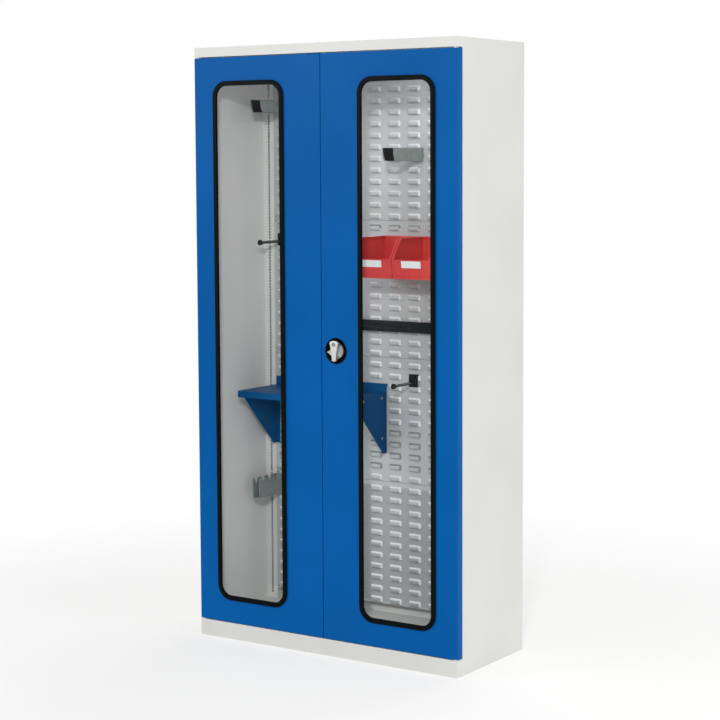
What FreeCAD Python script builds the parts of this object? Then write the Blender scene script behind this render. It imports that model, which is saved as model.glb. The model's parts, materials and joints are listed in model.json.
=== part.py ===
import FreeCAD, Part
import math
import os
import Sketcher
from types import SimpleNamespace

# Tool cabinet with two windowed doors, louvred back panels and hung fittings.
# X runs to the right, Y to the back and Z up. The origin is the centre of the footprint.

SIZES = {
    # Whole cabinet
    "width": 1000,
    "height": 1950,
    "depth": 410,
    "carcass_sheet": 1.2,
    "roof_strip": 31,
    "plinth_strip": 54,
    "overrun": 5,
    "seat_gap": 0.3,
    "fit_gap": 0.05,
    # Carcass folds
    "jamb_width": 30,
    "jamb_depth": 18,
    "rear_flange": 20,
    "roof_return": 51,
    "roof_lip": 12,
    "plinth_return": 25,
    # Doors
    "door_depth": 27,
    "door_back_gap": 4,
    "door_gap": 3,
    "door_sheet": 1.2,
    "door_lip": 15,
    # Windows, set in from the edges of their door
    "window_seam_margin": 139.5,
    "window_hinge_margin": 76.5,
    "window_bottom_margin": 75,
    "window_top_margin": 76,
    "window_radius": 52,
    "gasket_face": 16,
    "gasket_cover": 8,
    "gasket_web": 3,
    "gasket_proud": 2.5,
    "gasket_depth": 7,
    "pane_thickness": 4,
    # Door stiffener
    "stiffener_width": 40,
    "stiffener_flange": 8,
    "stiffener_depth": 18,
    "stiffener_end": 30,
    # Pin hinges
    "pivot_inset": 10,
    "pivot_setback": 8,
    "pin_radius": 4,
    "pin_reach": 9,
    "hinge_block_height": 26,
    "hinge_block_depth": 14,
    "hinge_block_reach": 9,
    "bush_wall": 2,
    "bush_collar_radius": 7.5,
    "bush_length": 7,
    "hinge_plate_reach": 30,
    "hinge_plate_depth": 22,
    "hinge_plate_thickness": 4,
    # Lock
    "lock_x": 55,
    "lock_z": 985,
    "dish_radius": 41.5,
    "dish_rim": 5,
    "dish_proud": 1.5,
    "dish_recess": 13,
    "dish_wall": 1,
    "case_half_width": 21.5,
    "case_half_height": 42,
    "case_sheet": 1.5,
    "case_depth": 11,
    "gear_module": 1,
    "gear_width": 6,
    "gear_backlash": 0.3,
    "rod_width": 9,
    "rod_thickness": 5,
    "rod_slot_gap": 0.5,
    "rod_end_setback": 0.6,
    "guide_margin": 5,
    "guide_height": 14,
    "guide_end_distance": 34,
    "keeper_length": 44,
    "keeper_depth": 24,
    "keeper_thickness": 3,
    # Turn knob
    "knob_disc_radius": 24.5,
    "knob_disc_front": 3,
    "knob_disc_back": 11,
    "knob_bar_half": 33,
    "knob_bar_top": 16.5,
    "knob_bar_bottom": 8,
    "knob_bar_proud": 14,
    "knob_bar_round": 8,
    "knob_edge_round": 2,
    "spindle_radius": 6,
    "journal_radius": 5,
    "cylinder_radius": 6,
    "cylinder_length": 14,
    "cylinder_proud": 0.6,
    "cylinder_above": 21,
    "key_slot_width": 1.6,
    "key_slot_half": 4,
    "key_slot_depth": 6,
    # Catches, buffers and feet
    "catch_length": 45,
    "catch_from_seam": 25,
    "catch_height": 16,
    "catch_depth": 20,
    "buffer_radius": 5,
    "buffer_inset": 28,
    "buffer_end_distance": 240,
    "leveller_radius": 20,
    "leveller_height": 8,
    "leveller_stem_radius": 5,
    "leveller_inset": 60,
    # Louvred back wall
    "panel_to_back": 40,
    "panel_flange": 12,
    "panel_seam": 1,
    "panel_above_lip": 14,
    "louvre_top_margin": 93.4,
    "louvre_rise": 38,
    "louvre_pitch": 76,
    "louvre_width": 48,
    "louvre_height": 18,
    "louvre_proud": 6,
    "louvre_sheet": 1.2,
    "wall_hole_side_margin": 100,
    "wall_hole_top_margin": 55,
    "wall_hole_radius": 4.5,
    # Hooks that hang fittings on the louvres
    "hook_sheet": 2,
    "hook_drop": 5,
    "hook_back": 5.6,
    # Shelf
    "shelf_side_margin": 9,
    "shelf_width": 454,
    "shelf_depth": 220.7,
    "shelf_drop": 26.6,
    "shelf_edge": 22,
    "bracket_front_inset": 37,
    "bracket_nose": 30,
    "bracket_toe": 22,
    "bracket_height": 203,
    "bracket_flange": 14,
    # Open fronted bins
    "bin_width": 146,
    "bin_depth": 189,
    "bin_height": 128.5,
    "bin_wall": 2.4,
    "bin_front": 62,
    "bin_mouth_run": 48,
    "bin_base_run": 8,
    "bin_rim": 8,
    "bin_rim_height": 5,
    "bin_left_edge": 2,
    "bin_spacing": 2,
    "label_width": 72,
    "label_height": 22,
    "label_thickness": 1,
    "label_above_base": 36,
    # Hammer holders
    "holder_gap": 39,
    "holder_length": 178,
    "holder_height": 42,
    "holder_tip": 12,
    # Comb holder
    "comb_width": 30,
    "comb_length": 132,
    "comb_height": 66,
    "comb_notch_pitch": 38,
    "comb_notch_half": 11,
    "comb_notch_depth": 22,
    # Pegs
    "peg_radius": 3.5,
    "peg_plate_half": 17,
    "peg_plate_height": 42,
    "peg_drop": 26,
    "peg_cap_radius": 8,
    "peg_cap_length": 8,
    "tool_peg_length": 129,
    "tape_peg_length": 126,
    # Magnetic tool rail
    "rail_left": -140,
    "rail_length": 470,
    "rail_height": 36,
    "rail_depth": 14,
    "rail_hook_above": 11,
    # Slotted uprights at both sides of the louvres
    "upright_face": 45,
    "upright_gap": 0.3,
    "slot_pitch": 10,
    "slot_width": 8,
    "slot_height": 6,
    "slot_inset": 20,
    "slot_end_margin": 20,
}

GEAR_TEETH = 18
RACK_SPARE_TEETH = 2
RACK_TAIL_TEETH = 3
PRESSURE_ANGLE = 20
DEDENDUM_SHARE = 1.25
BIN_ROW = 13
SHELF_ROW = 26
RAIL_ROW = 21
COMB_ROW = 35
HOLDER_PLACES = {
    "left": {"row": 2, "bottom_share": 0.155, "column": 0, "shift_share": 0.345},
    "right": {"row": 6, "bottom_share": 0.42, "column": 7, "shift_share": 0.24},
}
PEG_PLACES = {"tool_peg": {"row": 13, "column": 0}, "tape_peg": {"row": 25, "column": 7}}

doc = FreeCAD.newDocument("tool_cabinet")
sheet = doc.addObject("Spreadsheet::Sheet", "Sizes")
for row_number, (alias, number) in enumerate(SIZES.items(), start=1):
    sheet.set("A%d" % row_number, alias)
    sheet.set("B%d" % row_number, str(number))
    sheet.setAlias("B%d" % row_number, alias)
doc.recompute()
S = SimpleNamespace(**{alias: float(sheet.get(alias)) for alias in SIZES})
NODES = {}
INNER_HEIGHT = "Sizes.height - Sizes.roof_strip - Sizes.plinth_strip"

# Places worked out from the driving sizes
HALF_WIDTH = S.width / 2
FRONT = -S.depth / 2
BACK = S.depth / 2
JAMB_Y = FRONT + S.door_depth + S.door_back_gap
ROOF_UNDER = S.height - S.roof_strip
DOOR_BOTTOM = S.plinth_strip + S.door_gap
DOOR_TOP = ROOF_UNDER - S.door_gap
DOOR_BACK = FRONT + S.door_depth
WINDOW_INNER = S.door_gap / 2 + S.window_seam_margin
WINDOW_OUTER = HALF_WIDTH - S.window_hinge_margin
WINDOW_BOTTOM = DOOR_BOTTOM + S.window_bottom_margin
WINDOW_TOP = DOOR_TOP - S.window_top_margin
PANEL_Y = BACK - S.panel_to_back
PANEL_EDGE = HALF_WIDTH - S.upright_face
LOUVRE_TOP = ROOF_UNDER - S.louvre_top_margin
LOUVRE_COLUMNS = 1 + int((2 * PANEL_EDGE - S.louvre_width) // S.louvre_pitch)
PANEL_LABELS = ["louvre_panel_top", "louvre_panel_upper", "louvre_panel_lower", "louvre_panel_bottom"]
LOUVRE_ROWS = int((LOUVRE_TOP + S.panel_above_lip - S.plinth_strip) // S.louvre_rise)
LIP_Y = PANEL_Y - S.louvre_proud
HANG_Y = LIP_Y - S.seat_gap
PIVOT_X = HALF_WIDTH - S.pivot_inset
PIVOT_Y = FRONT + S.pivot_setback
BUSH_RADIUS = S.pin_radius + S.fit_gap + S.bush_wall
PITCH_RADIUS = S.gear_module * GEAR_TEETH / 2
ROD_TRAVEL = PITCH_RADIUS * math.pi / 2
CASE_FRONT = FRONT + S.dish_recess + S.dish_wall
CASE_BACK = CASE_FRONT + S.case_depth
GEAR_FRONT = CASE_FRONT + (S.case_depth - S.gear_width) / 2
ROD_FRONT = CASE_FRONT + (S.case_depth - S.rod_thickness) / 2
ROD_ROOT = PITCH_RADIUS + DEDENDUM_SHARE * S.gear_module


def vector(x_value, y_value, z_value=0.0):
    """A point or a direction."""
    return FreeCAD.Vector(x_value, y_value, z_value)


def lip_top(row):
    """Height of the top edge of one row of louvres."""
    return LOUVRE_TOP - row * S.louvre_rise


def column_middle(column):
    """Place across the cabinet of one column of louvres."""
    return (column - (LOUVRE_COLUMNS - 1) / 2) * S.louvre_pitch


def line_loop(points):
    """Straight edges through the points and back to the first."""
    edges = []
    for start, end in zip(points, points[1:] + points[:1]):
        edges.append(Part.LineSegment(vector(*start), vector(*end)))
    return edges


def box_loop(left, right, low, high):
    """A rectangle."""
    return line_loop([(left, low), (right, low), (right, high), (left, high)])


def round_loop(left, right, low, high, radius):
    """A rectangle with round corners."""
    edges = []
    corners = [(right, high), (left, high), (left, low), (right, low)]
    for quarter, (x_value, y_value) in enumerate(corners):
        middle_x = x_value - radius if x_value == right else x_value + radius
        middle_y = y_value - radius if y_value == high else y_value + radius
        circle = Part.Circle(vector(middle_x, middle_y), vector(0, 0, 1), radius)
        edges.append(Part.ArcOfCircle(circle, quarter * math.pi / 2, (quarter + 1) * math.pi / 2))
    edges.append(Part.LineSegment(vector(right - radius, high), vector(left + radius, high)))
    edges.append(Part.LineSegment(vector(left, high - radius), vector(left, low + radius)))
    edges.append(Part.LineSegment(vector(left + radius, low), vector(right - radius, low)))
    edges.append(Part.LineSegment(vector(right, low + radius), vector(right, high - radius)))
    return edges


def circle_loop(middle_x, middle_y, radius):
    """A full circle."""
    return [Part.Circle(vector(middle_x, middle_y), vector(0, 0, 1), radius)]


def strip_loop(path, thickness):
    """Outline of a sheet that follows a path, with its thickness to the left of the way along it."""
    normals = []
    for start, end in zip(path, path[1:]):
        run = math.hypot(end[0] - start[0], end[1] - start[1])
        normals.append((-(end[1] - start[1]) / run, (end[0] - start[0]) / run))
    inner = []
    for number, point in enumerate(path):
        before = normals[max(number - 1, 0)]
        after = normals[min(number, len(normals) - 1)]
        joined = 1 + before[0] * after[0] + before[1] * after[1]
        shift_x = thickness * (before[0] + after[0]) / joined
        shift_y = thickness * (before[1] + after[1]) / joined
        inner.append((point[0] + shift_x, point[1] + shift_y))
    return line_loop(path + inner[::-1])


def new_body(label):
    """An empty body with its name."""
    body = doc.addObject("PartDesign::Body", label)
    body.Label = label
    return body


def draw(body, plane, loops, at):
    """Sketch on one of the body's origin planes, moved to a place along the axis across that plane."""
    sketch = body.newObject("Sketcher::SketchObject", body.Label + "_sketch")
    for datum in body.Origin.OriginFeatures:
        if datum.Role == plane + "_Plane":
            sketch.AttachmentSupport = [(datum, "")]
    sketch.MapMode = "FlatFace"
    outward = -at if plane == "XZ" else at
    sketch.AttachmentOffset = FreeCAD.Placement(vector(0, 0, outward), FreeCAD.Rotation())
    for loop in loops:
        sketch.addGeometry(loop, False)
    return sketch


def pad(body, plane, loops, at, length):
    """Thicken loops from a place along the axis, towards its plus end, by a length from the sheet."""
    feature = body.newObject("PartDesign::Pad", body.Label + "_pad")
    feature.Profile = draw(body, plane, loops, at)
    feature.setExpression("Length", length)
    feature.Reversed = plane == "XZ"
    return feature


def pocket(body, plane, loops, at, length):
    """Cut loops from a place along the axis, towards its plus end, by a length from the sheet."""
    feature = body.newObject("PartDesign::Pocket", body.Label + "_pocket")
    feature.Profile = draw(body, plane, loops, at)
    feature.setExpression("Length", length)
    feature.Reversed = plane != "XZ"
    return feature


def revolve(body, points, at_x, at_y, at_z):
    """Turn a profile of radius and depth about the body's own Y axis, then set the body in place."""
    sketch = draw(body, "XY", [line_loop(points)], 0)
    feature = body.newObject("PartDesign::Revolution", body.Label + "_revolution")
    feature.Profile = sketch
    feature.ReferenceAxis = (sketch, ["V_Axis"])
    feature.Angle = 360
    body.Placement = FreeCAD.Placement(vector(at_x, at_y, at_z), FreeCAD.Rotation())
    return feature


def register(label, item):
    """Name a sub-part that is written to its own file."""
    item.Label = label
    NODES[label] = item
    return item


def join(label, items):
    """Several solids in one sub-part, joined where they meet."""
    fusion = doc.addObject("Part::MultiFuse", label)
    fusion.Shapes = items
    return register(label, fusion)


def cylinder(name, radius, height, place, direction):
    """A round bar whose sizes are bound to the sheet."""
    item = doc.addObject("Part::Cylinder", name)
    item.setExpression("Radius", radius)
    item.setExpression("Height", height)
    turn = FreeCAD.Rotation(vector(0, 0, 1), vector(*direction))
    item.Placement = FreeCAD.Placement(vector(*place), turn)
    return item


def spans(sign, near, far):
    """Sorted left and right edges of a stretch on one side of the middle."""
    return sorted((sign * near, sign * far))


def hook_path(hook_top, wall):
    """Rear stretch of a fitting with a back wall: over a louvre lip and down behind it."""
    return [
        (HANG_Y - wall, hook_top),
        (HANG_Y + S.hook_back + S.seat_gap, hook_top),
        (HANG_Y + S.hook_back + S.seat_gap, hook_top - S.hook_sheet - S.hook_drop),
    ]


def build_side(side, sign):
    """Side wall: a notched skin with a folded front jamb and a rear flange."""
    body = new_body("side_panel_" + side)
    left, right = spans(sign, HALF_WIDTH - S.carcass_sheet, HALF_WIDTH)
    outline = [
        (FRONT, 0),
        (BACK, 0),
        (BACK, S.height),
        (FRONT, S.height),
        (FRONT, ROOF_UNDER),
        (JAMB_Y, ROOF_UNDER),
        (JAMB_Y, S.plinth_strip),
        (FRONT, S.plinth_strip),
    ]
    pad(body, "YZ", [line_loop(outline)], left, "Sizes.carcass_sheet")
    inner = HALF_WIDTH - S.jamb_width
    skin = HALF_WIDTH - S.carcass_sheet
    jamb = [
        (sign * skin, JAMB_Y),
        (sign * inner, JAMB_Y),
        (sign * inner, JAMB_Y + S.jamb_depth),
        (sign * (inner + S.carcass_sheet), JAMB_Y + S.jamb_depth),
        (sign * (inner + S.carcass_sheet), JAMB_Y + S.carcass_sheet),
        (sign * skin, JAMB_Y + S.carcass_sheet),
    ]
    pad(body, "XY", [line_loop(jamb)], S.plinth_strip, INNER_HEIGHT)
    left, right = spans(sign, HALF_WIDTH - S.rear_flange, skin)
    rear = box_loop(left, right, BACK - 2 * S.carcass_sheet, BACK - S.carcass_sheet)
    pad(body, "XY", [rear], S.plinth_strip, INNER_HEIGHT)
    return register("side_panel_" + side, body)


def build_roof():
    """Roof: one folded sheet with the front strip, an underside return and a rear flange."""
    body = new_body("roof_panel")
    rear = BACK - S.carcass_sheet
    path = [
        (rear, S.height - S.rear_flange),
        (rear, S.height),
        (FRONT, S.height),
        (FRONT, ROOF_UNDER),
        (FRONT + S.roof_return, ROOF_UNDER),
        (FRONT + S.roof_return, ROOF_UNDER + S.roof_lip),
    ]
    sheet_width = "Sizes.width - 2 * Sizes.carcass_sheet"
    pad(body, "YZ", [strip_loop(path, S.carcass_sheet)], -HALF_WIDTH + S.carcass_sheet, sheet_width)
    bores = [circle_loop(sign * PIVOT_X, PIVOT_Y, BUSH_RADIUS + S.fit_gap) for sign in (-1, 1)]
    bores.append(rod_slot(-1))
    pocket(body, "XY", bores, ROOF_UNDER - S.overrun, "Sizes.overrun + Sizes.carcass_sheet + Sizes.seat_gap")
    return register("roof_panel", body)


def build_base():
    """Base: floor pan, plinth strip, lower return and rear flange folded from one sheet."""
    body = new_body("base_pan")
    rear = BACK - S.carcass_sheet
    path = [
        (FRONT + S.plinth_return, 0),
        (FRONT, 0),
        (FRONT, S.plinth_strip),
        (rear, S.plinth_strip),
        (rear, S.plinth_strip - S.rear_flange),
    ]
    outline = [strip_loop(path[::-1], S.carcass_sheet)]
    sheet_width = "Sizes.width - 2 * Sizes.carcass_sheet"
    pad(body, "YZ", outline, -HALF_WIDTH + S.carcass_sheet, sheet_width)
    bores = [circle_loop(sign * PIVOT_X, PIVOT_Y, BUSH_RADIUS + S.fit_gap) for sign in (-1, 1)]
    bores.append(rod_slot(1))
    low = S.plinth_strip - S.carcass_sheet - S.seat_gap
    pocket(body, "XY", bores, low, "Sizes.carcass_sheet + Sizes.seat_gap + Sizes.overrun")
    return register("base_pan", body)


def rod_slot(side):
    """Clearance slot for a lock rod: the upper rod runs at side -1, the lower at side 1."""
    near = S.lock_x + side * (ROD_ROOT - S.rod_slot_gap)
    far = S.lock_x + side * (ROD_ROOT + S.rod_width + S.rod_slot_gap)
    left, right = sorted((near, far))
    return box_loop(left, right, ROD_FRONT - S.rod_slot_gap, ROD_FRONT + S.rod_thickness + S.rod_slot_gap)


def build_back():
    """Back wall with two holes for fixing to a building wall."""
    body = new_body("back_panel")
    edge = HALF_WIDTH - S.carcass_sheet
    loops = [box_loop(-edge, edge, 0, S.height)]
    for sign in (-1, 1):
        hole_x = sign * (HALF_WIDTH - S.wall_hole_side_margin)
        loops.append(circle_loop(hole_x, S.height - S.wall_hole_top_margin, S.wall_hole_radius))
    pad(body, "XZ", loops, BACK - S.carcass_sheet, "Sizes.carcass_sheet")
    return register("back_panel", body)


def build_louvre_panel(label, first_row, rows):
    """Back panel with rows of pressed lips, each open at its top."""
    body = new_body(label)
    high = lip_top(first_row) + S.panel_above_lip
    low = high - rows * S.louvre_rise + S.panel_seam
    edge = PANEL_EDGE
    path = [
        (edge, PANEL_Y + S.panel_flange),
        (edge, PANEL_Y),
        (-edge, PANEL_Y),
        (-edge, PANEL_Y + S.panel_flange),
    ]
    plate = body.newObject("PartDesign::Pad", label + "_plate")
    plate.Profile = draw(body, "XY", [strip_loop(path[::-1], S.louvre_sheet)], low)
    plate.setExpression("Length", "%d * Sizes.louvre_rise - Sizes.panel_seam" % rows)
    lips = []
    for number in range(rows):
        top = lip_top(first_row + number)
        root = top - S.louvre_height
        lips.append(line_loop([
            (PANEL_Y + S.louvre_sheet / 2, root),
            (PANEL_Y + S.louvre_sheet / 2, root + S.louvre_sheet * S.louvre_height / S.louvre_proud),
            (PANEL_Y, root + S.louvre_sheet * S.louvre_height / S.louvre_proud),
            (LIP_Y + S.louvre_sheet, top),
            (LIP_Y, top),
            (PANEL_Y, root),
        ]))
    start = column_middle(0) - S.louvre_width / 2
    lip_pad = pad(body, "YZ", lips, start, "Sizes.louvre_width")
    columns = body.newObject("PartDesign::LinearPattern", label + "_columns")
    columns.Originals = [lip_pad]
    for datum in body.Origin.OriginFeatures:
        if datum.Role == "X_Axis":
            columns.Direction = (datum, [""])
    columns.setExpression("Length", "%d * Sizes.louvre_pitch" % (LOUVRE_COLUMNS - 1))
    columns.Occurrences = LOUVRE_COLUMNS
    body.Tip = columns
    return register(label, body)


def build_upright(side, sign):
    """Upright beside the louvres: a channel folded back to the rear wall, with a row of slots."""
    body = new_body("slotted_upright_" + side)
    near = PANEL_EDGE
    far = HALF_WIDTH - S.carcass_sheet - S.upright_gap
    rear = BACK - 2 * S.carcass_sheet - S.upright_gap
    wall = BACK - S.carcass_sheet
    left, right = spans(sign, near, far)
    face = [box_loop(left, right, S.plinth_strip, ROOF_UNDER)]
    first = S.plinth_strip + S.slot_end_margin
    middle = sign * (near + S.slot_inset)
    count = int((ROOF_UNDER - S.slot_end_margin - S.slot_height - first) // S.slot_pitch) + 1
    for number in range(count):
        low = first + number * S.slot_pitch
        face.append(box_loop(middle - S.slot_width / 2, middle + S.slot_width / 2, low, low + S.slot_height))
    pad(body, "XZ", face, PANEL_Y, "Sizes.louvre_sheet")
    inner_left, inner_right = spans(sign, near, near + S.louvre_sheet)
    inner = box_loop(inner_left, inner_right, PANEL_Y, wall)
    outer_left, outer_right = spans(sign, far - S.louvre_sheet, far)
    outer = box_loop(outer_left, outer_right, PANEL_Y, rear)
    pad(body, "XY", [inner, outer], S.plinth_strip, INNER_HEIGHT)
    return register("slotted_upright_" + side, body)


def door_edges(sign):
    """Left and right edges of one door."""
    return spans(sign, S.door_gap / 2, HALF_WIDTH)


def window_loop(sign, inset, radius_inset):
    """Window outline, drawn in from the outer edge of the gasket."""
    left, right = spans(sign, WINDOW_INNER + inset, WINDOW_OUTER - inset)
    low = WINDOW_BOTTOM + inset
    high = WINDOW_TOP - inset
    return round_loop(left, right, low, high, S.window_radius - radius_inset)


def build_door(side, sign):
    """Door shell: skin with a window, four return walls and an inner lip."""
    body = new_body("door_shell_" + side)
    left, right = door_edges(sign)
    outer = box_loop(left, right, DOOR_BOTTOM, DOOR_TOP)
    skin = [outer, window_loop(sign, S.gasket_cover, S.gasket_cover)]
    if sign > 0:
        skin.append(circle_loop(S.lock_x, S.lock_z, S.dish_radius - S.dish_rim))
    pad(body, "XZ", skin, FRONT, "Sizes.door_sheet")
    wall = S.door_sheet
    inside = box_loop(left + wall, right - wall, DOOR_BOTTOM + wall, DOOR_TOP - wall)
    pad(body, "XZ", [outer, inside], FRONT, "Sizes.door_depth")
    lip = S.door_lip
    opening = box_loop(left + lip, right - lip, DOOR_BOTTOM + lip, DOOR_TOP - lip)
    pad(body, "XZ", [outer, opening], DOOR_BACK - wall, "Sizes.door_sheet")
    bores = [circle_loop(sign * PIVOT_X, PIVOT_Y, S.pin_radius + S.fit_gap)]
    top_cuts = bores + ([rod_slot(-1)] if sign > 0 else [])
    bottom_cuts = bores + ([rod_slot(1)] if sign > 0 else [])
    depth = "Sizes.door_sheet + Sizes.seat_gap + Sizes.overrun"
    pocket(body, "XY", top_cuts, DOOR_TOP - wall - S.seat_gap, depth)
    pocket(body, "XY", bottom_cuts, DOOR_BOTTOM - S.overrun, depth)
    return register("door_shell_" + side, body)


def build_gasket(side, sign):
    """Rubber section that grips the door skin outside and the pane inside."""
    body = new_body("window_gasket_" + side)
    outer = window_loop(sign, 0, 0)
    face = window_loop(sign, S.gasket_face, S.gasket_face)
    edge = window_loop(sign, S.gasket_cover, S.gasket_cover)
    web = window_loop(sign, S.gasket_cover + S.gasket_web, S.gasket_cover + S.gasket_web)
    pad(body, "XZ", [outer, face], FRONT - S.gasket_proud, "Sizes.gasket_proud")
    pad(body, "XZ", [edge, web], FRONT, "Sizes.gasket_depth")
    rear_outer = "Sizes.gasket_depth - Sizes.door_sheet"
    pad(body, "XZ", [outer, edge], FRONT + S.door_sheet, rear_outer)
    rear_inner = "Sizes.gasket_depth - Sizes.pane_thickness"
    pad(body, "XZ", [web, face], FRONT + S.pane_thickness, rear_inner)
    return register("window_gasket_" + side, body)


def build_pane(side, sign):
    """Clear pane held in the gasket."""
    body = new_body("window_pane_" + side)
    inset = S.gasket_cover + S.gasket_web
    pad(body, "XZ", [window_loop(sign, inset, inset)], FRONT, "Sizes.pane_thickness")
    return register("window_pane_" + side, body)


def build_stiffener(side, sign):
    """Hat section behind the skin, between the window and the hinge side."""
    body = new_body("door_stiffener_" + side)
    start = WINDOW_OUTER + S.stiffener_flange
    stop = start + S.stiffener_width
    skin = FRONT + S.door_sheet
    crown = skin + S.stiffener_depth
    foot = S.stiffener_flange
    path = [
        (sign * start, skin),
        (sign * (start + foot), skin),
        (sign * (start + foot), crown),
        (sign * (stop - foot), crown),
        (sign * (stop - foot), skin),
        (sign * stop, skin),
    ]
    if sign < 0:
        path = path[::-1]
    low = DOOR_BOTTOM + S.stiffener_end
    tall = INNER_HEIGHT + " - 2 * Sizes.door_gap - 2 * Sizes.stiffener_end"
    pad(body, "XY", [strip_loop(path, S.door_sheet)], low, tall)
    return register("door_stiffener_" + side, body)


def build_hinge_pins(side, sign):
    """Door half of the hinges: a block inside each corner with its pin."""
    left, right = spans(sign, PIVOT_X - S.hinge_block_reach, HALF_WIDTH - S.door_sheet)
    near = FRONT + S.door_sheet
    block = box_loop(left, right, near, near + S.hinge_block_depth)
    body_top = new_body("hinge_block_top_" + side)
    pad(body_top, "XY", [block], DOOR_TOP - S.door_sheet - S.hinge_block_height, "Sizes.hinge_block_height")
    pin = [circle_loop(sign * PIVOT_X, PIVOT_Y, S.pin_radius)]
    pad(body_top, "XY", pin, DOOR_TOP - S.door_sheet, "Sizes.door_sheet + Sizes.pin_reach")
    body_low = new_body("hinge_block_low_" + side)
    pad(body_low, "XY", [block], DOOR_BOTTOM + S.door_sheet, "Sizes.hinge_block_height")
    low_pin = DOOR_BOTTOM - S.pin_reach
    pad(body_low, "XY", pin, low_pin, "Sizes.door_sheet + Sizes.pin_reach")
    join("hinge_pins_" + side, [body_top, body_low])


def build_hinge_seats():
    """Plates and flanged bushes that carry the pins in the roof and the base."""
    plates = []
    bushes = []
    inner = HALF_WIDTH - S.hinge_plate_reach
    near = FRONT + S.carcass_sheet
    levels = {
        "top": (ROOF_UNDER + S.carcass_sheet, 1),
        "low": (S.plinth_strip - S.carcass_sheet - S.hinge_plate_thickness, -1),
    }
    for side, sign in (("left", -1), ("right", 1)):
        left, right = spans(sign, inner, HALF_WIDTH - S.carcass_sheet)
        for level, (plate_low, way) in levels.items():
            plate = new_body("hinge_plate_%s_%s" % (level, side))
            loops = [box_loop(left, right, near, near + S.hinge_plate_depth)]
            loops.append(circle_loop(sign * PIVOT_X, PIVOT_Y, BUSH_RADIUS + S.fit_gap))
            pad(plate, "XY", loops, plate_low, "Sizes.hinge_plate_thickness")
            plates.append(plate)
            bush = new_body("hinge_bush_%s_%s" % (level, side))
            bore = circle_loop(sign * PIVOT_X, PIVOT_Y, S.pin_radius + S.fit_gap)
            collar = circle_loop(sign * PIVOT_X, PIVOT_Y, S.bush_collar_radius)
            sleeve = circle_loop(sign * PIVOT_X, PIVOT_Y, BUSH_RADIUS)
            collar_low = DOOR_TOP + S.seat_gap if way > 0 else DOOR_BOTTOM - S.door_gap
            sleeve_low = ROOF_UNDER if way > 0 else S.plinth_strip - S.bush_length
            pad(bush, "XY", [collar, bore], collar_low, "Sizes.door_gap - Sizes.seat_gap")
            pad(bush, "XY", [sleeve, bore], sleeve_low, "Sizes.bush_length")
            bushes.append(bush)
    join("hinge_plates", plates)
    join("hinge_bushes", bushes)


def build_dish():
    """Round recessed dish that the turn knob sits in."""
    body = new_body("lock_dish")
    rim = S.dish_radius
    wall = rim - S.dish_rim - S.fit_gap
    hole = S.spindle_radius + S.fit_gap
    points = [
        (hole, S.dish_recess + S.dish_wall),
        (wall, S.dish_recess + S.dish_wall),
        (wall, 0),
        (rim, 0),
        (rim, -S.dish_proud),
        (wall - S.dish_wall, -S.dish_proud),
        (wall - S.dish_wall, S.dish_recess),
        (hole, S.dish_recess),
    ]
    revolve(body, points, S.lock_x, FRONT, S.lock_z)
    return register("lock_dish", body)


def build_lock_case():
    """Lock housing: an open channel behind the dish, closed by a cover."""
    body = new_body("lock_case")
    left = S.lock_x - S.case_half_width
    right = S.lock_x + S.case_half_width
    low = S.lock_z - S.case_half_height
    high = S.lock_z + S.case_half_height
    shaft_hole = circle_loop(S.lock_x, S.lock_z, S.spindle_radius + S.fit_gap)
    face = [box_loop(left, right, low, high), shaft_hole]
    pad(body, "XZ", face, CASE_FRONT, "Sizes.case_sheet")
    depth = "Sizes.case_depth - Sizes.case_sheet"
    walls = [
        box_loop(left, left + S.case_sheet, low, high),
        box_loop(right - S.case_sheet, right, low, high),
    ]
    pad(body, "XZ", walls, CASE_FRONT, depth)
    register("lock_case", body)
    cover = new_body("lock_cover")
    journal_hole = circle_loop(S.lock_x, S.lock_z, S.journal_radius + S.fit_gap)
    plate = [box_loop(left, right, low, high), journal_hole]
    pad(cover, "XZ", plate, CASE_BACK - S.case_sheet, "Sizes.case_sheet")
    register("lock_cover", cover)


def involute(radius, base_radius):
    """Polar angle of an involute at a radius."""
    turn = math.acos(base_radius / radius)
    return math.tan(turn) - turn


def pinion_points():
    """Outline of the pinion, with involute flanks."""
    angle = math.radians(PRESSURE_ANGLE)
    base = PITCH_RADIUS * math.cos(angle)
    tip = PITCH_RADIUS + S.gear_module
    root = PITCH_RADIUS - DEDENDUM_SHARE * S.gear_module
    half_pitch = math.pi / (2 * GEAR_TEETH) - S.gear_backlash / (4 * PITCH_RADIUS)
    half_base = half_pitch + involute(PITCH_RADIUS, base)
    radii = [base, PITCH_RADIUS, (PITCH_RADIUS + tip) / 2, tip]
    flank = [(root, half_base)]
    flank += [(radius, half_base - involute(radius, base)) for radius in radii]
    points = []
    for tooth in range(GEAR_TEETH):
        middle = 2 * math.pi * tooth / GEAR_TEETH
        polar = [(radius, middle - half) for radius, half in flank]
        polar += [(radius, middle + half) for radius, half in flank[::-1]]
        for radius, turn in polar:
            points.append((S.lock_x + radius * math.cos(turn), S.lock_z + radius * math.sin(turn)))
    return points


def build_spindle():
    """Shaft of the turn knob with the pinion cut on it."""
    body = new_body("lock_spindle")
    shaft = [circle_loop(S.lock_x, S.lock_z, S.spindle_radius)]
    start = FRONT + S.knob_disc_back
    to_gear = "Sizes.dish_recess + Sizes.dish_wall - Sizes.knob_disc_back"
    to_gear += " + (Sizes.case_depth - Sizes.gear_width) / 2"
    pad(body, "XZ", shaft, start, to_gear)
    pad(body, "XZ", [line_loop(pinion_points())], GEAR_FRONT, "Sizes.gear_width")
    journal = [circle_loop(S.lock_x, S.lock_z, S.journal_radius)]
    pad(body, "XZ", journal, GEAR_FRONT + S.gear_width, "(Sizes.case_depth - Sizes.gear_width) / 2")
    return register("lock_spindle", body)


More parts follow.
